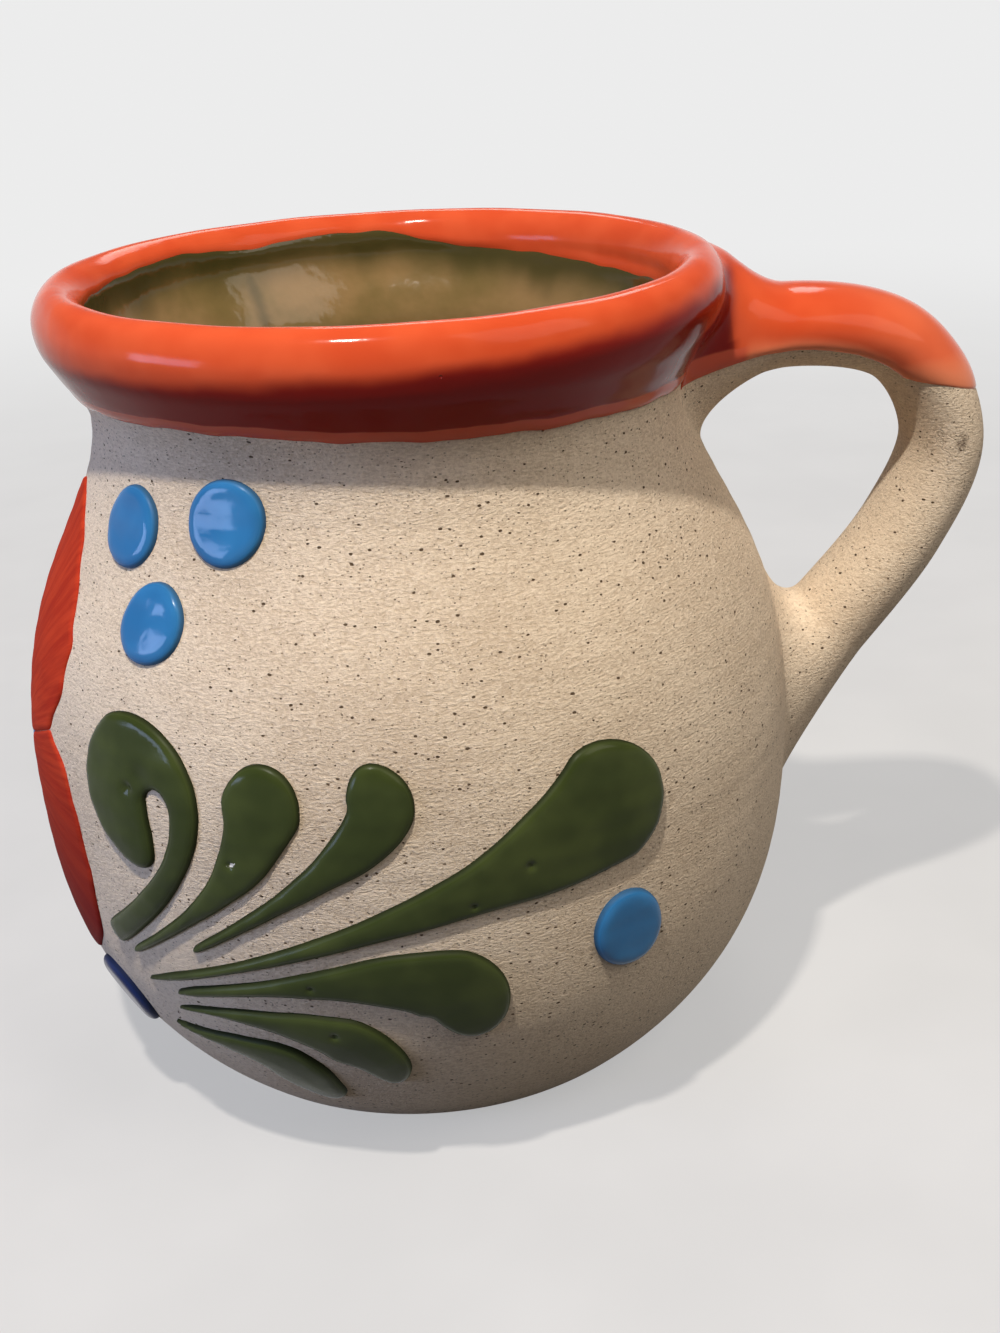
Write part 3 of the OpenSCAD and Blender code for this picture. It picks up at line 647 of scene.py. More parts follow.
# %% Lay a piece of slip on the wall
EDGE_ROWS = (0.06, 0.16, 0.32, 0.55, 0.85)
FIELD_STEP, FIELD_ROW, ROW_CLEAR, DOME_REACH = 0.48, 0.866, 0.93, 2.4
DENT_SIZES = (0.3, 0.6, 0.95, 1.3)
DENT_RINGS = np.array([(0, 0)] + [
    (size * math.cos(math.radians(a + 15 * k)), size * math.sin(math.radians(a + 15 * k)))
    for k, size in enumerate(DENT_SIZES) for a in range(0, 360, 30 if k else 60)
])


def lay(name, outline, height, shoulder, slot, node, dome=0.12, dents=(), field=FIELD_STEP):
    """A closed piece of slip inside an outline of turns and heights, with dents of turn, height, depth and
    radius in its top."""
    middle = outline.mean(axis=0)
    scale = np.array([math.radians(1) * wall_r(middle[1]), 1.0])
    flat = (outline - middle) * scale
    ahead = np.roll(flat, -1, axis=0) - np.roll(flat, 1, axis=0)
    area = np.sum(flat[:, 0] * np.roll(flat[:, 1], -1) - np.roll(flat[:, 0], -1) * flat[:, 1])
    inward = np.stack([-ahead[:, 1], ahead[:, 0]], 1) * math.copysign(1, area)
    inward /= np.linalg.norm(inward, axis=1, keepdims=True)
    edge = wall(*outline.T)
    rows = []
    for gap in EDGE_ROWS:
        row = flat + inward * gap
        clear = to_outline(wall(*(row / scale + middle).T), edge) > ROW_CLEAR * gap
        rows.append(row[clear & is_inside(row, flat)])
    low, high = flat.min(axis=0), flat.max(axis=0)
    x, y = np.meshgrid(np.arange(low[0], high[0], field), np.arange(low[1], high[1], field * FIELD_ROW))
    x = x + (np.arange(len(x)) % 2)[:, None] * field / 2
    spread = np.stack([x.ravel(), y.ravel()], 1)
    spread = spread[is_inside(spread, flat)]
    rings = [(np.array(dent[:2]) - middle) * scale + dent[3] * DENT_RINGS for dent in dents]
    for ring, dent in zip(rings, dents):
        spread = spread[np.linalg.norm(spread - ring[0], axis=1) > DENT_SIZES[-1] * dent[3]]
    spread = np.concatenate([spread] + rings)
    spread = spread[to_outline(wall(*(spread / scale + middle).T), edge) > EDGE_ROWS[-1] + field / 3]
    seeds = [Vector(p) for p in np.concatenate([flat] + rows + [spread]).tolist()]
    found, _, triangles, origins, _, _ = delaunay_2d_cdt(seeds, [], [list(range(len(flat)))], 1, 1e-5)
    placed = np.array([tuple(p) for p in found]) / scale + middle
    ordered = {k: new for new, old in enumerate(origins) for k in old}
    border = [ordered[k] for k in range(len(flat))]
    far_in = to_outline(wall(*placed.T), edge)
    far_in[border] = 0
    rounded = np.sqrt(1 - (1 - np.minimum(far_in / shoulder, 1)) ** 2)
    lift = height * rounded * (1 + dome * (1 - np.exp(-far_in / DOME_REACH)))
    sunk = np.zeros(len(placed))
    for at_turn, at_z, depth, radius in dents:
        gap = np.linalg.norm(wall(*placed.T) - wall(at_turn, at_z), axis=1)
        sunk = np.maximum(sunk, depth * np.exp(-((gap / radius) ** 2)))
    lift = lift - sunk * rounded**2
    top, bottom = wall(*placed.T, lift), wall(*placed.T, np.full(len(placed), -SUNK))
    n = len(placed)
    faces = [tuple(t) for t in triangles] + [tuple(n + k for k in reversed(t)) for t in triangles]
    faces += [(a, b, n + b, n + a) for a, b in zip(border, border[1:] + border[:1])]
    piece = make_piece(name, np.concatenate([top, bottom]), faces, slot, node)
    mark_inset(piece, np.concatenate([far_in, np.zeros(n)]))
    return piece


# %% [markdown]
# ## The spray of leaves
#
# Each leaf is one squeeze of the bag along a bent line: thin where the nozzle started, fat where it
# stopped. The line is a cubic with four points, given as shares of the spray's reach and rise, and the leaf
# swells along it. Each row of the forms says how wide the leaf gets, where along it, how wide its tail is,
# how late it swells, and what is left of the tail's width at its very tip. Where the first leaf doubles
# back onto its stalk, the slip ran together and left a crease. That crease and a few burst bubbles are
# dents, each with a place, a depth and a radius.

# %% The lines and forms of the leaves
SPRAY_H, SPRAY_W, SPRAY_Z = 0.358 * MUG_H, 1.435 * BELLY_R, 0.232 * MUG_H
FLOWER_R, FLOWER_Z = 0.379 * MUG_H, 0.421 * MUG_H
SPRAY_ANGLE = 180 - turn_of(0.862 * FLOWER_R, wall_r(SPRAY_Z))
LEAF_W, TIP_SHARE = 0.424 * SPRAY_H, 0.08
LEAF_PATHS = [
    [(0.000, 0.18), (0.535, 0.955), (-0.150, 1.125), (0.133, 0.515)],
    [(0.045, 0.14), (0.360, 0.56), (0.335, 0.680), (0.355, 0.915)],
    [(0.195, 0.24), (0.620, 0.79), (0.530, 0.745), (0.510, 0.930)],
    [(0.055, 0.03), (0.685, 0.57), (0.745, 0.485), (0.985, 0.785)],
    [(0.125, 0.025), (0.480, 0.29), (0.720, 0.245), (0.620, -0.040)],
    [(0.105, -0.06), (0.250, 0.055), (0.520, 0.030), (0.465, -0.265)],
    [(0.065, -0.16), (0.335, -0.130), (0.290, -0.200), (0.335, -0.390)],
]
LEAF_DENTS = {
    1: [(0.126, 0.815, 0.22, 1.3), (0.102, 0.772, 0.4, 0.7)],
    2: [(0.298, 0.599, 0.3, 0.45)],
    4: [(0.765, 0.568, 0.4, 0.5), (0.674, 0.460, 0.3, 0.35)],
    5: [(0.401, 0.180, 0.3, 0.35)],
    6: [(0.416, -0.012, 0.35, 0.4)],
}
LEAF_FORMS = [
    (0.70, 0.72, 0.30, 6.4, 1.0),
    (0.61, 0.85, 0.12, 2.6, 0.8),
    (0.50, 0.85, 0.16, 2.4, 0.7),
    (1.00, 0.89, 0.08, 3.2, 0.3),
    (0.73, 0.80, 0.13, 2.7, 0.4),
    (0.50, 0.68, 0.10, 2.1, 0.4),
    (0.50, 0.63, 0.11, 1.8, 0.3),
]


def leaf_line(path, form, steps=160):
    """Turns, heights and half widths along one leaf, closer together towards its head."""
    a, b, c, d = np.array(path) * [SPRAY_W, SPRAY_H] + [0, SPRAY_Z]
    t = 1 - (1 - np.linspace(0, 1, steps)[:, None]) ** 2
    u = 1 - t
    p = u**3 * a + 3 * u * u * t * b + 3 * u * t * t * c + t**3 * d
    turn, z = turn_of(p[:, 0], wall_r(p[:, 1])) - SPRAY_ANGLE, p[:, 1]
    way = np.linalg.norm(np.diff(wall(turn, z), axis=0), axis=1)
    s = np.concatenate([[0], np.cumsum(way)]) / way.sum()
    wide, peak, tail, power, point = form
    swell = tail + (1 - tail) * np.minimum(s / peak, 1) ** power
    cap = np.sqrt(np.maximum(1 - (np.maximum(s - peak, 0) / (1 - peak)) ** 2, 0))
    hand = 1 + 0.03 * np.sin(14 * s + 9 * wide) + 0.02 * np.sin(31 * s + 5 * power)
    nipped = np.minimum(point + (1 - point) * s / TIP_SHARE, 1)
    return turn, z, LEAF_W / 2 * wide * swell * cap * hand * nipped


def widened(values, rows):
    """The highest value within some rows of each place, smoothed over the same rows."""
    padded = np.pad(values, rows, mode="edge")
    highest = np.array([padded[i:i + 2 * rows + 1].max() for i in range(len(values))])
    soft = np.hanning(2 * rows + 3)[1:-1]
    return np.convolve(np.pad(highest, rows, mode="edge"), soft / soft.sum(), mode="valid")


def leaf_outline(turn, z, half_w, gather=1.15, rows=12):
    """The edge of a leaf. The inside of a tight bend is gathered in, so that it doesn't cross itself."""
    r, k = wall_r(z), wall_run(z)
    u, v = np.gradient(np.radians(turn)) * r, np.gradient(z) * k
    size = np.hypot(u, v)
    u, v = u / size, v / size
    bend = (u * np.gradient(v) - v * np.gradient(u)) / size
    sides = []
    for side in (1, -1):
        tightest = widened(np.maximum(side * bend, 0), rows)
        reach = side * half_w / np.maximum(1, gather * tightest * half_w)
        sides.append(np.stack([turn - turn_of(reach * v, r), z + reach * u / k], 1))
    round_tail = np.radians(np.linspace(-90, 90, 11))[1:-1]
    back_u = -np.cos(round_tail) * u[0] + np.sin(round_tail) * v[0]
    back_v = -np.cos(round_tail) * v[0] - np.sin(round_tail) * u[0]
    tail = np.stack([turn[0] + turn_of(half_w[0] * back_u, r[0]), z[0] + half_w[0] * back_v / k[0]], 1)
    return np.concatenate([sides[1], sides[0][::-1], tail[::-1]])


def fill_creases(outline, radius=0.8, rounds=12, times=20):
    """The outline with its sharp inward corners filled to a radius, as thick slip fills them."""
    for _ in range(rounds):
        for _ in range(times):
            z = outline[:, 1]
            flat = np.stack([np.radians(outline[:, 0]) * wall_r(z.mean()), z * wall_run(z.mean())], 1)
            before, after = flat - np.roll(flat, 2, axis=0), np.roll(flat, -2, axis=0) - flat
            x, y = flat.T
            way_round = math.copysign(1, np.sum(x * np.roll(y, -1) - np.roll(x, -1) * y))
            size = np.hypot(*before.T) * np.hypot(*after.T)
            inward = way_round * (before[:, 1] * after[:, 0] - before[:, 0] * after[:, 1]) / size
            share = np.clip(2 * inward * radius / np.sqrt(size) - 1, 0, 1)
            share = np.max([np.roll(share, k) for k in (-1, 0, 1)], axis=0)[:, None]
            outline = outline + share * (soften(outline, 1) - outline)
        outline = even(outline)
    return outline


def mirrored(outline):
    """The same outline on the far side of the mug, in the same direction of travel."""
    return (outline * [-1, 1])[::-1]


# %% Squeeze out the leaves
LEAF_FORM, LEAF_DOME = (0.72, 1.0), 0.42


def on_spray(x, z):
    """The turn and height of a place in the spray, given in shares of its reach and rise."""
    height = SPRAY_Z + z * SPRAY_H
    return turn_of(x * SPRAY_W, wall_r(height)) - SPRAY_ANGLE, height


for number, (path, form) in enumerate(zip(LEAF_PATHS, LEAF_FORMS), start=1):
    outline = fill_creases(soften(even(leaf_outline(*leaf_line(path, form))), 3))
    dents = [on_spray(x, z) + (depth, radius) for x, z, depth, radius in LEAF_DENTS.get(number, [])]
    for side, edge, marks in (("front", outline, dents), ("back", mirrored(outline), ())):
        node = f"{side}_leaf_{number}"
        leaf = lay(f"green_{node}", edge, *LEAF_FORM, "green_slip", node, LEAF_DOME, marks)
    print("leaf", number, len(leaf.data.polygons), "faces")

# %% [markdown]
# ## Dots
#
# A dot is a drop from the bag. It has a round shoulder and a flat top, and it is never a true circle. Each
# row gives its place from the flower's middle, in shares of the flower's radius and of the spray's reach,
# and its height in shares of the mug's. Then come its size, its squeeze, its lean and its dome, which is
# below zero where the drop sank in the middle. The fifth, under the flower, is a deeper cobalt, and its
# dark colour is partly painted shade.

# %% Drop the dots
DOT_D, DOT_T = 9.0, 1.05
DOT_FORM = (DOT_T * 0.9, 1.3)
DOTS = [
    (0.673, 0, 0.767, 0.98, 0.97, 8, 0),
    (1.017, 0, 0.79, 0.99, 1.03, -5, -0.06),
    (0.942, 0, 0.68, 1.0, 0.92, 12, 0),
    (0.909, 0.92, 0.316, 1.1, 0.86, -28, -0.1),
    (0.66, 0, 0.169, 1.1, 0.95, 10, -0.1),
]


def drop_outline(turn, z, d, squeeze=1.0, lean=0.0):
    """A slightly uneven round on the wall, narrower across by a squeeze and leaning by an angle."""
    a = np.radians(np.arange(0, 360, 4))
    size = d / 2 * (1 + 0.018 * np.sin(2 * a + turn) + 0.012 * np.sin(3 * a + z))
    x, y = size * squeeze * np.cos(a), size * np.sin(a)
    tilt = math.radians(lean)
    u, v = x * math.cos(tilt) + y * math.sin(tilt), y * math.cos(tilt) - x * math.sin(tilt)
    return np.stack([turn + turn_of(u, wall_r(z)), z + v / wall_run(z)], 1)


for number, (by_flower, by_spray, height, size, squeeze, lean, dome) in enumerate(DOTS, start=1):
    z = height * MUG_H
    turn = turn_of(by_flower * FLOWER_R + by_spray * SPRAY_W, wall_r(z)) - 180
    outline = even(drop_outline(turn, z, size * DOT_D, squeeze, lean))
    for side, edge in (("front", outline), ("back", mirrored(outline))):
        node = f"{side}_dot_{number}"
        lay(f"blue_{node}", edge, *DOT_FORM, "blue_slip", node, dome)
    print("dot", number, "at", np.round(turn), np.round(z))

# %% [markdown]
# ## The flower
#
# The flower is brushed on thinly, petal by petal, round a raised eye. The photograph shows it only from
# its edge, so the reach of each petal is set where that edge can be read, and the rest follows the same
# form. A petal is a fan between two angles, with its own reach at even steps across it.

# %% Brush the petals
EYE_D, EYE_FORM, EYE_DOME, EYE_CLEAR = 9.6, (DOT_T * 0.8, 1.9), 0.35, 0.1
PETAL_FORM, PETAL_FIELD, PETAL_GAP = (0.34, 0.6), 0.8, 0.02
PETALS = [
    (24, 90, (0.64, 0.78, 0.88, 0.94, 0.98, 1, 0.91)),
    (-54, 24, (0.72, 0.82, 0.845, 0.82, 0.78, 0.74, 0.64)),
    (-126, -54, (0.72, 0.8, 0.83, 0.84, 0.83, 0.8, 0.72)),
]


def petal_outline(low, high, reaches):
    """The edge of one petal, from the eye out to its reach."""
    t = np.linspace(0, 1, 80)
    legs = len(reaches) - 1
    i = np.minimum((t * legs).astype(int), legs - 1)
    f = t * legs - i
    shares = np.array(reaches)
    outer = FLOWER_R * (shares[i] + (shares[i + 1] - shares[i]) * f * f * (3 - 2 * f))
    inner = np.full(30, EYE_D / 2 + EYE_CLEAR)
    reach = np.concatenate([outer, inner])
    across = np.concatenate([2 * t - 1, np.linspace(1, -1, 30)])
    angle = np.radians((low + high) / 2 + across * ((high - low) / 2 - turn_of(PETAL_GAP / 2, reach)))
    z = FLOWER_Z + reach * np.sin(angle) / wall_run(FLOWER_Z + reach * np.sin(angle))
    return np.stack([turn_of(reach * np.cos(angle), wall_r(z)) - 180, z], 1)


for number, (low, high, reaches) in enumerate(PETALS, start=1):
    outline = soften(even(petal_outline(low, high, reaches)), 6)
    twins = [(number, outline)]
    if number < len(PETALS):
        twins.append((number + len(PETALS), mirrored(outline)))
    for count, edge in twins:
        node = f"petal_{count}"
        lay(f"red_{node}", edge, *PETAL_FORM, "red_slip", node, dome=0, field=PETAL_FIELD)
eye_outline = even(drop_outline(-180.0, FLOWER_Z, EYE_D))
lay("blue_flower_eye", eye_outline, *EYE_FORM, "blue_slip", "flower_eye", EYE_DOME)
print("the flower reaches", np.round(FLOWER_R), "mm from its middle")

# %% [markdown]
# ## Finishes: two shared effects
#
# Two effects come back in several materials, so each is a node group with its own inputs and outputs. Fired
# clay is sand held in clay: grains that catch the light, a few pits, and dark specks where iron burned out.
# A glaze has a skin like still water that isn't quite flat, with a pinhole here and there. The groups give
# out masks and heights only, and each material decides what to do with them.

# %% Helpers for nodes
def add(tree, kind, inputs=None, **settings):
    """A node with its settings and its inputs, which are values or other nodes' outputs."""
    made = tree.nodes.new("ShaderNode" + kind)
    for key, value in settings.items():
        setattr(made, key, value)
    for key, value in (inputs or {}).items():
        if isinstance(value, bpy.types.NodeSocket):
            tree.links.new(value, made.inputs[key])
        else:
            made.inputs[key].default_value = value
    return made


def maths(tree, operation, a, b=0.0, c=0.0):
    """A sum on numbers."""
    return add(tree, "Math", {0: a, 1: b, 2: c}, operation=operation).outputs[0]


def ramp(tree, value, low, high, to_low=0.0, to_high=1.0):
    """A value stretched smoothly from one range to another."""
    inputs = {"Value": value, "From Min": low, "From Max": high, "To Min": to_low, "To Max": to_high}
    return add(tree, "MapRange", inputs, interpolation_type="SMOOTHSTEP").outputs["Result"]


def blend(tree, share, a, b):
    """Two colours mixed by a share."""
    made = add(tree, "Mix", data_type="RGBA")
    for index, value in ((0, share), (6, a), (7, b)):
        if isinstance(value, bpy.types.NodeSocket):
            tree.links.new(value, made.inputs[index])
        else:
            made.inputs[index].default_value = value
    return made.outputs[2]


def noise(tree, place, scale, detail=2.0, rough=0.5, out="Fac"):
    """Soft noise, as a number or as a colour."""
    inputs = {"Vector": place, "Scale": scale, "Detail": detail, "Roughness": rough}
    return add(tree, "TexNoise", inputs).outputs[out]


def vectors(tree, operation, a, b=(0, 0, 0)):
    """A sum on vectors. A length and a distance come out as numbers."""
    made = add(tree, "VectorMath", {0: a, 1: b}, operation=operation)
    return made.outputs["Value" if operation in ("LENGTH", "DISTANCE") else "Vector"]


def stretched(tree, place, factors):
    """The place with each of its axes multiplied by a factor."""
    return vectors(tree, "MULTIPLY", place, factors)


def wavering(tree, place, scale, detail, by):
    """The place pushed about by noise, so that what is drawn there wavers."""
    push = noise(tree, place, scale, detail, out="Color")
    return vectors(tree, "ADD", place, stretched(tree, push, by))


def spots(tree, place, scale, rare, size, amount, soft):
    """Round spots of uneven size, in those cells whose chance is above a value."""
    cells = add(tree, "TexVoronoi", {"Vector": place, "Scale": scale}, feature="F1")
    chance = add(tree, "SeparateColor", {"Color": cells.outputs["Color"]}).outputs[0]
    radius = maths(tree, "MULTIPLY", maths(tree, "MULTIPLY", ramp(tree, chance, rare, 1.0), size), amount)
    return ramp(tree, maths(tree, "SUBTRACT", radius, cells.outputs["Distance"]), 0.0, soft)


def new_group(name, inputs, outputs):
    """An empty node group with number inputs and outputs, and the object's own coordinates."""
    tree = bpy.data.node_groups.new(name, "ShaderNodeTree")
    for label, value in inputs.items():
        tree.interface.new_socket(label, in_out="INPUT", socket_type="NodeSocketFloat").default_value = value
    for label in outputs:
        tree.interface.new_socket(label, in_out="OUTPUT", socket_type="NodeSocketFloat")
    given = tree.nodes.new("NodeGroupInput").outputs
    result = tree.nodes.new("NodeGroupOutput").inputs
    place = add(tree, "TexCoord").outputs["Object"]
    return tree, given, result, place


# %% [markdown]
# The sand could be a picture of real clay, but a picture has seams and only one scale. Noise has neither.
# Fine noise and noise drawn out along the throwing lines make the grain. A Voronoi texture has one spot to
# a cell, and a spot shows only where its cell's chance is high. The cells are shaken and stretched first,
# because grains are never quite round.

# %% The sand and specks of fired clay
sand, given, result, place = new_group(
    "sandy clay", {"Grain": 1.0, "Specks": 1.0}, ("Tone", "Speck", "Height")
)
fine = noise(sand, place, 3300.0, 3.0, 0.7)
drawn = noise(sand, stretched(sand, place, (1, 1, 3.0)), 1350.0, 3.0, 0.65)
cloudy = noise(sand, place, 45.0, 3.0, 0.5)
shaken = wavering(sand, place, 2200.0, 1.0, (0.0003, 0.0003, 0.00012))
uneven_place = stretched(sand, shaken, (0.8, 0.8, 1.25))
large, small = (
    spots(sand, uneven_place, scale, rare, size, given["Specks"], 0.05)
    for scale, rare, size in ((1250.0, 0.36, 0.23), (2300.0, 0.14, 0.27))
)
speck = maths(sand, "MAXIMUM", large, maths(sand, "MULTIPLY", small, 0.6))
grains = maths(sand, "ADD", maths(sand, "MULTIPLY", fine, 0.7), maths(sand, "MULTIPLY", drawn, 0.7))
height = maths(sand, "SUBTRACT", grains, maths(sand, "MULTIPLY", speck, 0.5))
tone = maths(sand, "ADD", maths(sand, "MULTIPLY", cloudy, 0.25), maths(sand, "MULTIPLY", drawn, 0.4))
tone = maths(sand, "ADD", tone, maths(sand, "MULTIPLY", fine, 0.35))
sand.links.new(tone, result["Tone"])
sand.links.new(speck, result["Speck"])
sand.links.new(maths(sand, "MULTIPLY", height, given["Grain"]), result["Height"])
print("sandy clay has", len(sand.nodes), "nodes")

# %% [markdown]
# A glaze melts and levels itself, but it never gets quite flat. Slow noise gives the long ripple that bends
# its reflections, and a little quick noise gives the orange peel. The same spots, very small and rare, are
# its pinholes.

# %% The skin of a glaze
skin_group, given, result, place = new_group(
    "glaze skin", {"Ripple": 1.0, "Pinholes": 1.0}, ("Tone", "Pinhole", "Height")
)
slow = noise(skin_group, place, 160.0, 2.0)
peel = noise(skin_group, place, 900.0, 1.0)
pinhole = spots(skin_group, place, 210.0, 0.72, 0.055, given["Pinholes"], 0.02)
rippled = maths(skin_group, "ADD", slow, maths(skin_group, "MULTIPLY", peel, 0.12))
rippled = maths(skin_group, "MULTIPLY", rippled, given["Ripple"])
skin_group.links.new(slow, result["Tone"])
skin_group.links.new(pinhole, result["Pinhole"])
skin_group.links.new(maths(skin_group, "SUBTRACT", rippled, pinhole), result["Height"])
print("glaze skin has", len(skin_group.nodes), "nodes")

# %% [markdown]
# ## Materials
#
# Every material uses one Principled shader. Its plain numbers are set on its own sockets, and only what
# changes over the surface is linked: colour, roughness and the bump.

# %% Start a material
def new_material(name, **numbers):
    """A material with one Principled shader, whose sockets are set by name."""
    material = bpy.data.materials.new(name)
    material.use_nodes = True
    tree = material.node_tree
    shader = tree.nodes["Principled BSDF"]
    for key, value in numbers.items():
        shader.inputs[key.replace("_", " ")].default_value = value
    return material, tree, shader


def place_group(tree, group, **values):
    """A group placed in a material with its own values, as its outputs."""
    made = tree.nodes.new("ShaderNodeGroup")
    made.node_tree = group
    for key, value in values.items():
        made.inputs[key].default_value = value
    return made.outputs


def bump(tree, shader, height, distance):
    """The height, in shares of a distance in millimetres, as the shader's normal."""
    made = add(tree, "Bump", {"Height": height, "Distance": distance * MM, "Strength": 1.0})
    tree.links.new(made.outputs["Normal"], shader.inputs["Normal"])


def coordinates(tree):
    """The place on the object, whole and as its three axes."""
    place = add(tree, "TexCoord").outputs["Object"]
    return place, add(tree, "SeparateXYZ", {"Vector": place}).outputs


# %% [markdown]
# The bare clay is cream with warmer clouds, brown specks and fine pits. The handle has hairline cracks and
# one dark smudge, where the clay was bent.

# %% Bare clay
CLAY_LIGHT, CLAY_WARM, CLAY_SPECK = (0.82, 0.675, 0.505, 1), (0.59, 0.455, 0.318, 1), (0.11, 0.07, 0.04, 1)
SMUDGE_AT, SMUDGE_EDGE, SMUDGE_DARK = (0.0659, -0.0073, 0.0704), (0.0038, 0.0024), (0.09, 0.055, 0.03, 1)
CRACKS_AT, CRACKS_REACH, CRACK_DARK = (0.0634, -0.0066, 0.0704), (0.0040, 0.0012), (0.25, 0.17, 0.11, 1)
CRACK_EDGE = 0.035
clay, tree, shader = new_material("bare fired clay", Roughness=0.85, Specular_IOR_Level=0.25)
place, _ = coordinates(tree)
grain = place_group(tree, sand)
colour = blend(tree, ramp(tree, grain["Tone"], 0.38, 0.6), CLAY_WARM, CLAY_LIGHT)
colour = blend(tree, grain["Speck"], colour, CLAY_SPECK)
upright_patch = stretched(tree, vectors(tree, "SUBTRACT", place, SMUDGE_AT), (1.6, 1.2, 0.7))
from_smudge = vectors(tree, "LENGTH", upright_patch)
ragged = maths(tree, "MULTIPLY_ADD", noise(tree, place, 900.0, 3.0, 0.7), 0.005, from_smudge)
smudge = ramp(tree, ragged, *SMUDGE_EDGE)
bent = wavering(tree, place, 650.0, 3.0, (0.003, 0.003, 0.003))
plates = add(tree, "TexVoronoi", {"Vector": bent, "Scale": 300.0}, feature="DISTANCE_TO_EDGE")
near_cracks = ramp(tree, vectors(tree, "DISTANCE", place, CRACKS_AT), *CRACKS_REACH, 0.0, 0.55)
crack = maths(tree, "MULTIPLY", ramp(tree, plates.outputs["Distance"], CRACK_EDGE, 0.0), near_cracks)
colour = blend(tree, maths(tree, "MULTIPLY", smudge, 0.75), colour, SMUDGE_DARK)
colour = blend(tree, maths(tree, "MULTIPLY", crack, 0.7), colour, CRACK_DARK)
tree.links.new(colour, shader.inputs["Base Color"])
bump(tree, shader, maths(tree, "MULTIPLY_ADD", crack, -0.5, grain["Height"]), 0.2)
print("clay material is ready")

# %% [markdown]
# The orange glaze is bright over the roll of the lip. Under the lip it is painted deep red as painted shade,
# and the line between the two climbs a little towards the handle, as the shade does. In the last two
# millimetres above the rim's lower edge the glaze is painted paler again. It pales along the handle too,
# and most at its end, where pinkish clay shows through.

# %% Orange glaze
ORANGE, ORANGE_THIN = (0.635, 0.076, 0.022, 1), (0.69, 0.096, 0.030, 1)
LIP_SHADE_RED, PALE_RIM_EDGE, SALMON = (0.24, 0.006, 0.002, 1), (0.62, 0.105, 0.052, 1), (0.84, 0.26, 0.125, 1)
# Where the painted shade under the lip lies: its height, its lean up towards the handle, and its soft edge.
LIP_SHADE_Z, LIP_SHADE_LEAN, LIP_SHADE_SOFT = 0.0907, 0.045, 0.0010
LIP_FROM, LIP_TO, UNDER_TO, BELOW_LIP = (0.0345, 0.0352), (0.0405, 0.0385), (0.0405, 0.0388), (0.0855, 0.0845)
RIM_BAND, RIM_BAND_BELOW, THIN_END = (1.95, 1.7, 0.0, 0.85), (0.0872, 0.0866), (2.6, 0.2, 0.0, 0.9)
ON_HANDLE, PALER_OUT = (0.0405, 0.0415), (0.047, 0.066, 0.0, 0.3)
orange, tree, shader = new_material("orange glaze", Roughness=0.13, Specular_IOR_Level=0.09)
place, axes = coordinates(tree)
glaze = place_group(tree, skin_group, Ripple=1.0, Pinholes=0.8)
inset = add(tree, "Attribute", attribute_name="inset").outputs["Fac"]
out_from_axis = add(tree, "CombineXYZ", {"X": axes[0], "Y": axes[1]}).outputs["Vector"]
radial = vectors(tree, "LENGTH", out_from_axis)
outside_lip = maths(tree, "MULTIPLY", ramp(tree, radial, *LIP_FROM), ramp(tree, radial, *LIP_TO))
outside_neck = maths(tree, "MAXIMUM", outside_lip, ramp(tree, axes[2], *BELOW_LIP))
under = maths(tree, "MULTIPLY", outside_neck, ramp(tree, radial, *UNDER_TO))
# painted shade: deep red on the lip's underside, below a line that leans up towards the handle
leaning_line = maths(tree, "MULTIPLY_ADD", axes[0], LIP_SHADE_LEAN, LIP_SHADE_Z)
wander_up = maths(tree, "MULTIPLY_ADD", glaze["Tone"], 0.0016, -0.0008)
lip_shade_line = maths(tree, "ADD", leaning_line, wander_up)
below_line = ramp(tree, maths(tree, "SUBTRACT", lip_shade_line, axes[2]), -LIP_SHADE_SOFT, LIP_SHADE_SOFT)
painted_lip_shade = maths(tree, "MULTIPLY", below_line, under)
colour = blend(tree, ramp(tree, glaze["Tone"], 0.35, 0.7), ORANGE, ORANGE_THIN)
colour = blend(tree, painted_lip_shade, colour, LIP_SHADE_RED)
on_handle = ramp(tree, radial, *ON_HANDLE)
near_edge = maths(tree, "ADD", inset, maths(tree, "MULTIPLY_ADD", glaze["Tone"], 0.8, -0.4))
on_rim = maths(tree, "SUBTRACT", 1.0, on_handle)
# a paler band painted in the last two millimetres above the rim's lower edge
edge_band = maths(tree, "MULTIPLY", ramp(tree, near_edge, *RIM_BAND), on_rim)
rim_band = maths(tree, "MULTIPLY", edge_band, ramp(tree, axes[2], *RIM_BAND_BELOW))
colour = blend(tree, rim_band, colour, PALE_RIM_EDGE)
thin_end = maths(tree, "MULTIPLY", ramp(tree, near_edge, *THIN_END), on_handle)
paler_out = ramp(tree, axes[0], *PALER_OUT)
colour = blend(tree, maths(tree, "MAXIMUM", thin_end, paler_out), colour, SALMON)
tree.links.new(colour, shader.inputs["Base Color"])
bump(tree, shader, glaze["Height"], 0.10)
print("orange material is ready")

# %% [markdown]
# The lining is an olive-brown glaze. Where it meets the orange, a dark green band is painted as the shade
# under the lip, and one run of the same dark green reaches down the wall. The band follows the lining's own
# edge, by the distance that its points carry. The run lies at one turn round the pot, and clouds of noise
# make its sides uneven.

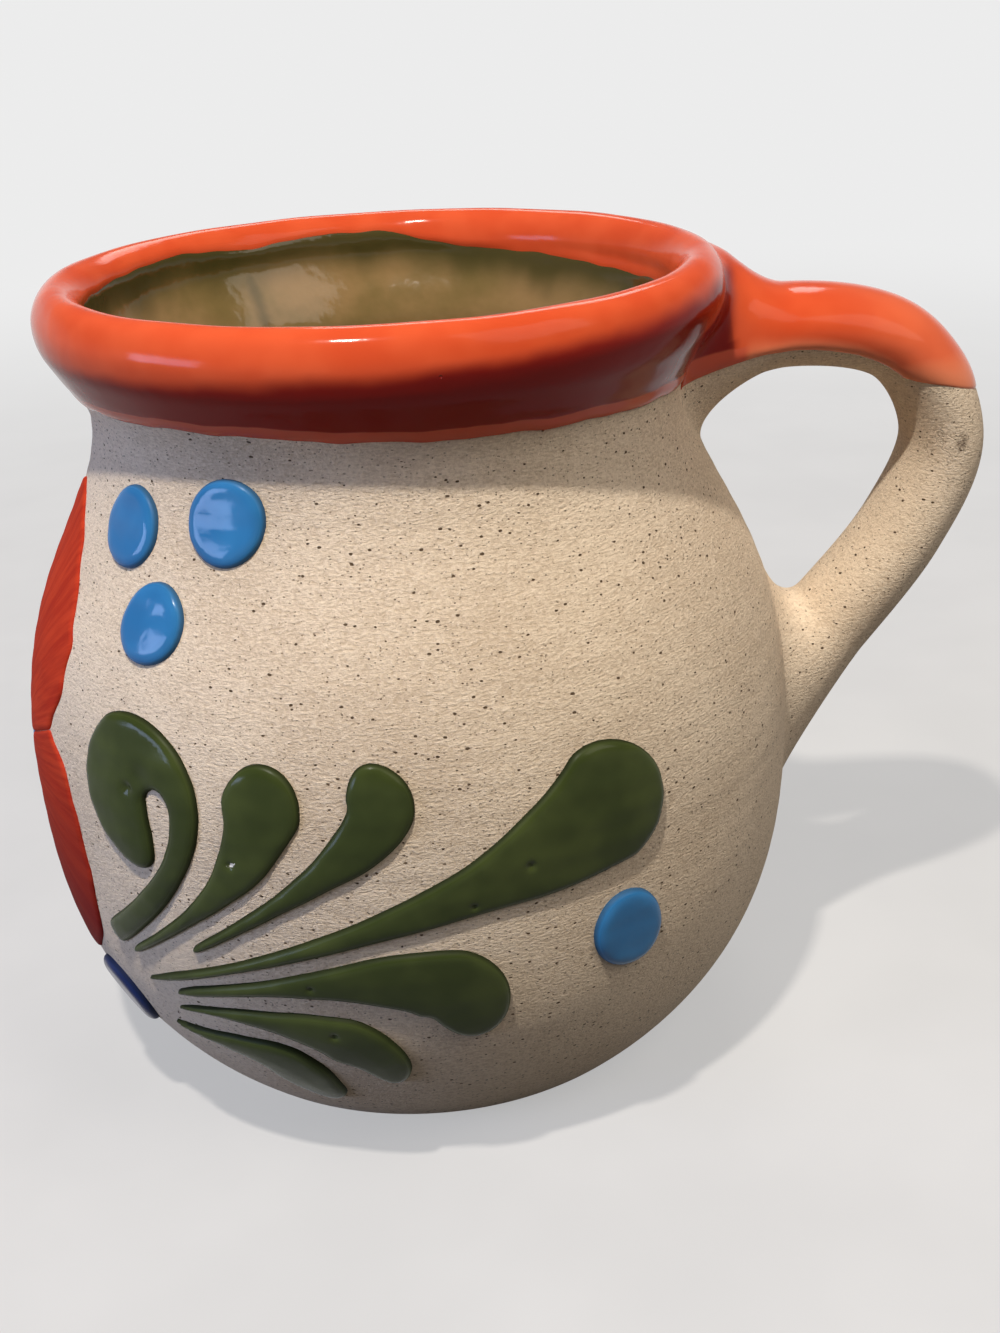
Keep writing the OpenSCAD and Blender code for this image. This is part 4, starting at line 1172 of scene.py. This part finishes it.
# %% Lining glaze
LINING_SHADE_AND_RUN, LINING_BROWN = (0.045, 0.040, 0.009, 1), (0.28, 0.175, 0.072, 1)
LINING_DARK = (0.18, 0.125, 0.042, 1)
RUN_TURN, RUN_W, RUN_R = math.radians(121.5), 0.0016, 0.031
lining_finish, tree, shader = new_material("lining glaze", Roughness=0.13, Specular_IOR_Level=0.25)
place, axes = coordinates(tree)
glaze = place_group(tree, skin_group, Ripple=1.6, Pinholes=1.4)
inset = add(tree, "Attribute", attribute_name="inset").outputs["Fac"]
clouds = noise(tree, place, 75.0, 4.0, 0.6)
runs = noise(tree, stretched(tree, place, (1, 1, 0.1)), 110.0, 2.0)
# painted shade: a dark green band just under the orange, where the lip shades the lining
painted_shade_w = maths(tree, "ADD", ramp(tree, runs, 0.4, 0.8, 2.4, 4.6), maths(tree, "MULTIPLY", clouds, 1.6))
painted_shade_band = ramp(tree, maths(tree, "SUBTRACT", painted_shade_w, inset), -3.4, 2.4, 0.0, 0.9)
turn = maths(tree, "ARCTAN2", axes[1], axes[0])
beside_run = maths(tree, "MULTIPLY", maths(tree, "ABSOLUTE", maths(tree, "SUBTRACT", turn, RUN_TURN)), RUN_R)
off_run = maths(tree, "ADD", beside_run, maths(tree, "MULTIPLY_ADD", clouds, 0.002, -0.001))
run_down = maths(tree, "MULTIPLY", ramp(tree, off_run, RUN_W, 0.0), ramp(tree, inset, 22.0, 12.0, 0.0, 0.6))
colour = blend(tree, ramp(tree, clouds, 0.35, 0.68), LINING_DARK, LINING_BROWN)
# the dark green is painted shade in the band, and the run's own colour down the wall
colour = blend(tree, maths(tree, "MAXIMUM", painted_shade_band, run_down), colour, LINING_SHADE_AND_RUN)
tree.links.new(colour, shader.inputs["Base Color"])
bump(tree, shader, glaze["Height"], 0.2)
print("lining material is ready")

# %% [markdown]
# The slips share one recipe. The colour is darkened in the last bit at the edge as painted contact shade,
# where the slip meets the clay, and clouded in the body, and the skin is glossy with a few pinholes that
# show the pale clay. The green has one chip besides, in the second leaf of the front.

# %% Slips
CHIP_AT, CHIP_EDGE = wall(*on_spray(0.300, 0.604)) * MM, (0.00185, 0.00165)
PIN_CLAY, CHIP_CLAY = (0.5, 0.42, 0.3, 1), (0.80, 0.76, 0.68, 1)


def slip_material(name, light, dark, edge, rough, pinholes, mirror=0.1, chip=None):
    """A slip in three colours, with its own gloss, pinholes and mirror, and a chip if it has one."""
    material, tree, shader = new_material(name, Roughness=rough, Specular_IOR_Level=mirror)
    glaze = place_group(tree, skin_group, Ripple=1.3, Pinholes=pinholes)
    colour = blend(tree, ramp(tree, glaze["Tone"], 0.35, 0.7), dark, light)
    inset = add(tree, "Attribute", attribute_name="inset").outputs["Fac"]
    # painted contact shade: the colour darkens in the last 0.35 mm at the edge
    colour = blend(tree, ramp(tree, inset, 0.35, 0.0, 0.0, 0.8), colour, edge)
    colour = blend(tree, glaze["Pinhole"], colour, PIN_CLAY)
    if chip is not None:
        place, _ = coordinates(tree)
        from_chip = vectors(tree, "DISTANCE", place, chip)
        ragged = maths(tree, "MULTIPLY_ADD", noise(tree, place, 1500.0, 2.0), 0.0022, from_chip)
        colour = blend(tree, ramp(tree, ragged, *CHIP_EDGE), colour, CHIP_CLAY)
    tree.links.new(colour, shader.inputs["Base Color"])
    tree.links.new(ramp(tree, inset, 0.0, 0.6, 0.6, rough), shader.inputs["Roughness"])
    bump(tree, shader, glaze["Height"], 0.12)
    return material


green = slip_material(
    "green slip", (0.054, 0.070, 0.018, 1), (0.036, 0.049, 0.012, 1), (0.010, 0.013, 0.004, 1), 0.17, 1.0,
    chip=CHIP_AT,
)
blue = slip_material(
    "blue slip", (0.034, 0.19, 0.42, 1), (0.026, 0.155, 0.36, 1), (0.03, 0.08, 0.15, 1), 0.10, 0.5, 0.16
)
# the fifth dot's deeper cobalt, made darker still as painted shade
cobalt_with_shade = slip_material(
    "cobalt slip", (0.012, 0.03, 0.13, 1), (0.008, 0.018, 0.08, 1), (0.01, 0.015, 0.04, 1), 0.18, 0.5
)
print("slips are ready")

# %% [markdown]
# The red is brushed on thinly, so the brush leaves streaks that run out from the flower's middle, and the
# sand of the clay shows through. The streaks are noise in angle round the flower, which hardly changes
# along a petal. Towards the foot the red is darkened as painted shade.

# %% Brushed red
RED_LIGHT, RED_DARK, RED_PAINTED_SHADE = (0.55, 0.052, 0.018, 1), (0.40, 0.027, 0.011, 1), (0.13, 0.008, 0.010, 1)
red, tree, shader = new_material("brushed red slip", Roughness=0.75, Specular_IOR_Level=0.06)
place, axes = coordinates(tree)
grain = place_group(tree, sand, Grain=0.6, Specks=0.5)
up = maths(tree, "SUBTRACT", axes[2], FLOWER_Z * MM)
bearing = maths(tree, "ARCTAN2", up, axes[1])
up_squared, along_squared = (maths(tree, "POWER", side, 2.0) for side in (up, axes[1]))
from_middle = maths(tree, "SQRT", maths(tree, "ADD", up_squared, along_squared))
polar = add(tree, "CombineXYZ", {
    "X": maths(tree, "MULTIPLY", bearing, 16.0), "Y": maths(tree, "MULTIPLY", from_middle, 60.0)
}).outputs["Vector"]
streaks = noise(tree, polar, 1.6, 4.0, 0.6)
colour = blend(tree, ramp(tree, streaks, 0.3, 0.7), RED_DARK, RED_LIGHT)
# painted shade: the red darkens towards the foot
painted_low_shade = ramp(tree, axes[2], 0.050, 0.018, 0.0, 0.9)
colour = blend(tree, painted_low_shade, colour, RED_PAINTED_SHADE)
tree.links.new(colour, shader.inputs["Base Color"])
streak_height = maths(tree, "ADD", maths(tree, "MULTIPLY", grain["Height"], 0.5), streaks)
bump(tree, shader, streak_height, 0.07)
print("red material is ready")

# %% [markdown]
# Each piece was given its slot when it was made, so one loop hands out the finishes. Only the two dark dots
# under the flower differ from their slot: their deeper cobalt is partly painted shade.

# %% Put the finishes on
FINISHES = {
    "clay": clay,
    "orange_glaze": orange,
    "lining_glaze": lining_finish,
    "green_slip": green,
    "blue_slip": blue,
    "red_slip": red,
}
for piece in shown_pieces():
    piece.data.materials.clear()
    piece.data.materials.append(FINISHES[piece["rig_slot"]])
    # the dark dots get the cobalt that is partly painted shade
    if piece.name.endswith("dot_5"):
        piece.data.materials[0] = cobalt_with_shade

# %% [markdown]
# ## The studio
#
# The mug stands on a plain pale table under studio light. The main light is small and high on the left, as
# in the photograph, so the lip throws a shadow with a sharp edge. Its direction was worked out from that
# edge: about 64 degrees up and 20 degrees to the left of the viewer. A cool window stands low on the left
# for the blue reflections on the slip, a weak warm light fills the right, and another stands behind. The
# lamps add up to a level at which a colour comes out about as it is written.
#
# The table and the backdrop are pale only where they are seen, by the camera or in the gloss. The light
# that they throw on the clay is weak, so the belly keeps its shade.

# %% Table and backdrop
AMBIENT, BACKDROP, CEILING = (0.13, 0.13, 0.145, 1), (0.84, 0.84, 0.84, 1), (0.15, 0.15, 0.16, 1)
TABLE_GLOW, BOUNCE, TABLE_R = 0.5, (0.07, 0.068, 0.066, 1), 1.2
TABLE_DARK, TABLE_LIGHT = (0.27, 0.265, 0.26, 1), (0.30, 0.295, 0.29, 1)
spokes = np.radians(np.arange(0, 360, 5))
table_mesh = bpy.data.meshes.new("table")
table_edge = [(TABLE_R * math.cos(a), TABLE_R * math.sin(a), 0) for a in spokes]
table_mesh.from_pydata(table_edge, [], [range(len(table_edge))])
table = bpy.data.objects.new("table", table_mesh)
bpy.context.scene.collection.objects.link(table)


def seen_directly(tree):
    """1 for the rays that show the backdrop: from the camera, in a reflection or through glass."""
    rays = add(tree, "LightPath").outputs
    seen = maths(tree, "MAXIMUM", rays["Is Camera Ray"], rays["Is Glossy Ray"])
    return maths(tree, "MAXIMUM", seen, rays["Is Transmission Ray"])


pale, tree, shader = new_material("pale table", Roughness=0.9, Specular_IOR_Level=0.1)
place, _ = coordinates(tree)
table_top = blend(tree, ramp(tree, noise(tree, place, 30.0, 3.0), 0.3, 0.7), TABLE_DARK, TABLE_LIGHT)
from_mug = vectors(tree, "LENGTH", place)
seen = seen_directly(tree)
tree.links.new(blend(tree, seen, BOUNCE, table_top), shader.inputs["Base Color"])
shader.inputs["Emission Color"].default_value = BACKDROP
tree.links.new(maths(tree, "MULTIPLY", seen, TABLE_GLOW), shader.inputs["Emission Strength"])
far_away = maths(tree, "MULTIPLY", ramp(tree, from_mug, 0.12, 0.55), seen)
glow = add(tree, "Emission", {"Color": BACKDROP, "Strength": 1.0})
table_finish = add(tree, "MixShader", {0: far_away, 1: shader.outputs[0], 2: glow.outputs[0]})
tree.links.new(table_finish.outputs[0], tree.nodes["Material Output"].inputs["Surface"])
table_mesh.materials.append(pale)

world = bpy.data.worlds.new("studio")
bpy.context.scene.world = world
world.use_nodes = True
tree = world.node_tree
height_seen = add(tree, "SeparateXYZ", {"Vector": add(tree, "TexCoord").outputs["Generated"]}).outputs[2]
shown = blend(tree, ramp(tree, height_seen, 0.02, 0.35), BACKDROP, CEILING)
tree.links.new(blend(tree, seen_directly(tree), AMBIENT, shown), tree.nodes["Background"].inputs["Color"])


# %% Lights
def soft_light(name, at, size, power, colour, aim=(0, 0, 0.06)):
    """A rectangular soft light that faces the mug."""
    lamp = bpy.data.lights.new(name, "AREA")
    lamp.shape = "RECTANGLE"
    lamp.size, lamp.size_y = size
    lamp.energy = power
    lamp.color = colour
    thing = bpy.data.objects.new(name, lamp)
    bpy.context.scene.collection.objects.link(thing)
    thing.location = at
    thing.rotation_euler = (Vector(aim) - Vector(at)).to_track_quat("-Z", "Y").to_euler()


soft_light("main light", (-0.085, -0.24, 0.585), (0.025, 0.025), 3.0, (1.0, 0.94, 0.86))
soft_light("window", (-0.522, -0.18, 0.17), (0.26, 0.12), 1.4, (0.50, 0.62, 1.0))
soft_light("fill", (0.36, -0.26, 0.48), (0.35, 0.35), 1.35, (1.0, 0.92, 0.82))
soft_light("back light", (0.10, 0.50, 0.45), (0.30, 0.15), 0.8, (1.0, 0.97, 0.93))
print("lights are set")

# %% [markdown]
# ## The camera
#
# The place and the aim come from the photograph: its rim, foot and handle were matched with the model's.
# The picture is taken as 1000 by 1333 pixels, so the lens is the focal length in pixels times the sensor's
# 36 mm over the longer side.

# %% Set the camera
PICTURE_H, SENSOR, FOCAL_PX = 1333, 36.0, 1659.7
PITCH, YAW, ROLL = math.radians(23.90), math.radians(3.30), math.radians(-3.13)
EYE = Vector((0, -0.190, 0.12788))
forward = Vector((math.sin(YAW) * math.cos(PITCH), math.cos(YAW) * math.cos(PITCH), -math.sin(PITCH)))
level = Vector((math.cos(YAW), -math.sin(YAW), 0))
upright = level.cross(forward)
right = math.cos(ROLL) * level + math.sin(ROLL) * upright
up_axis = math.cos(ROLL) * upright - math.sin(ROLL) * level
camera_data = bpy.data.cameras.new("camera")
camera_data.sensor_width = SENSOR
camera_data.lens = FOCAL_PX * SENSOR / PICTURE_H
camera_data.clip_start = 0.01
camera = bpy.data.objects.new("camera", camera_data)
bpy.context.scene.collection.objects.link(camera)
camera.matrix_world = Matrix.Translation(EYE) @ Matrix((right, up_axis, -forward)).transposed().to_4x4()
bpy.context.scene.camera = camera
bpy.context.scene.view_settings.view_transform = "Standard"
print("lens", round(camera_data.lens, 2), "mm")
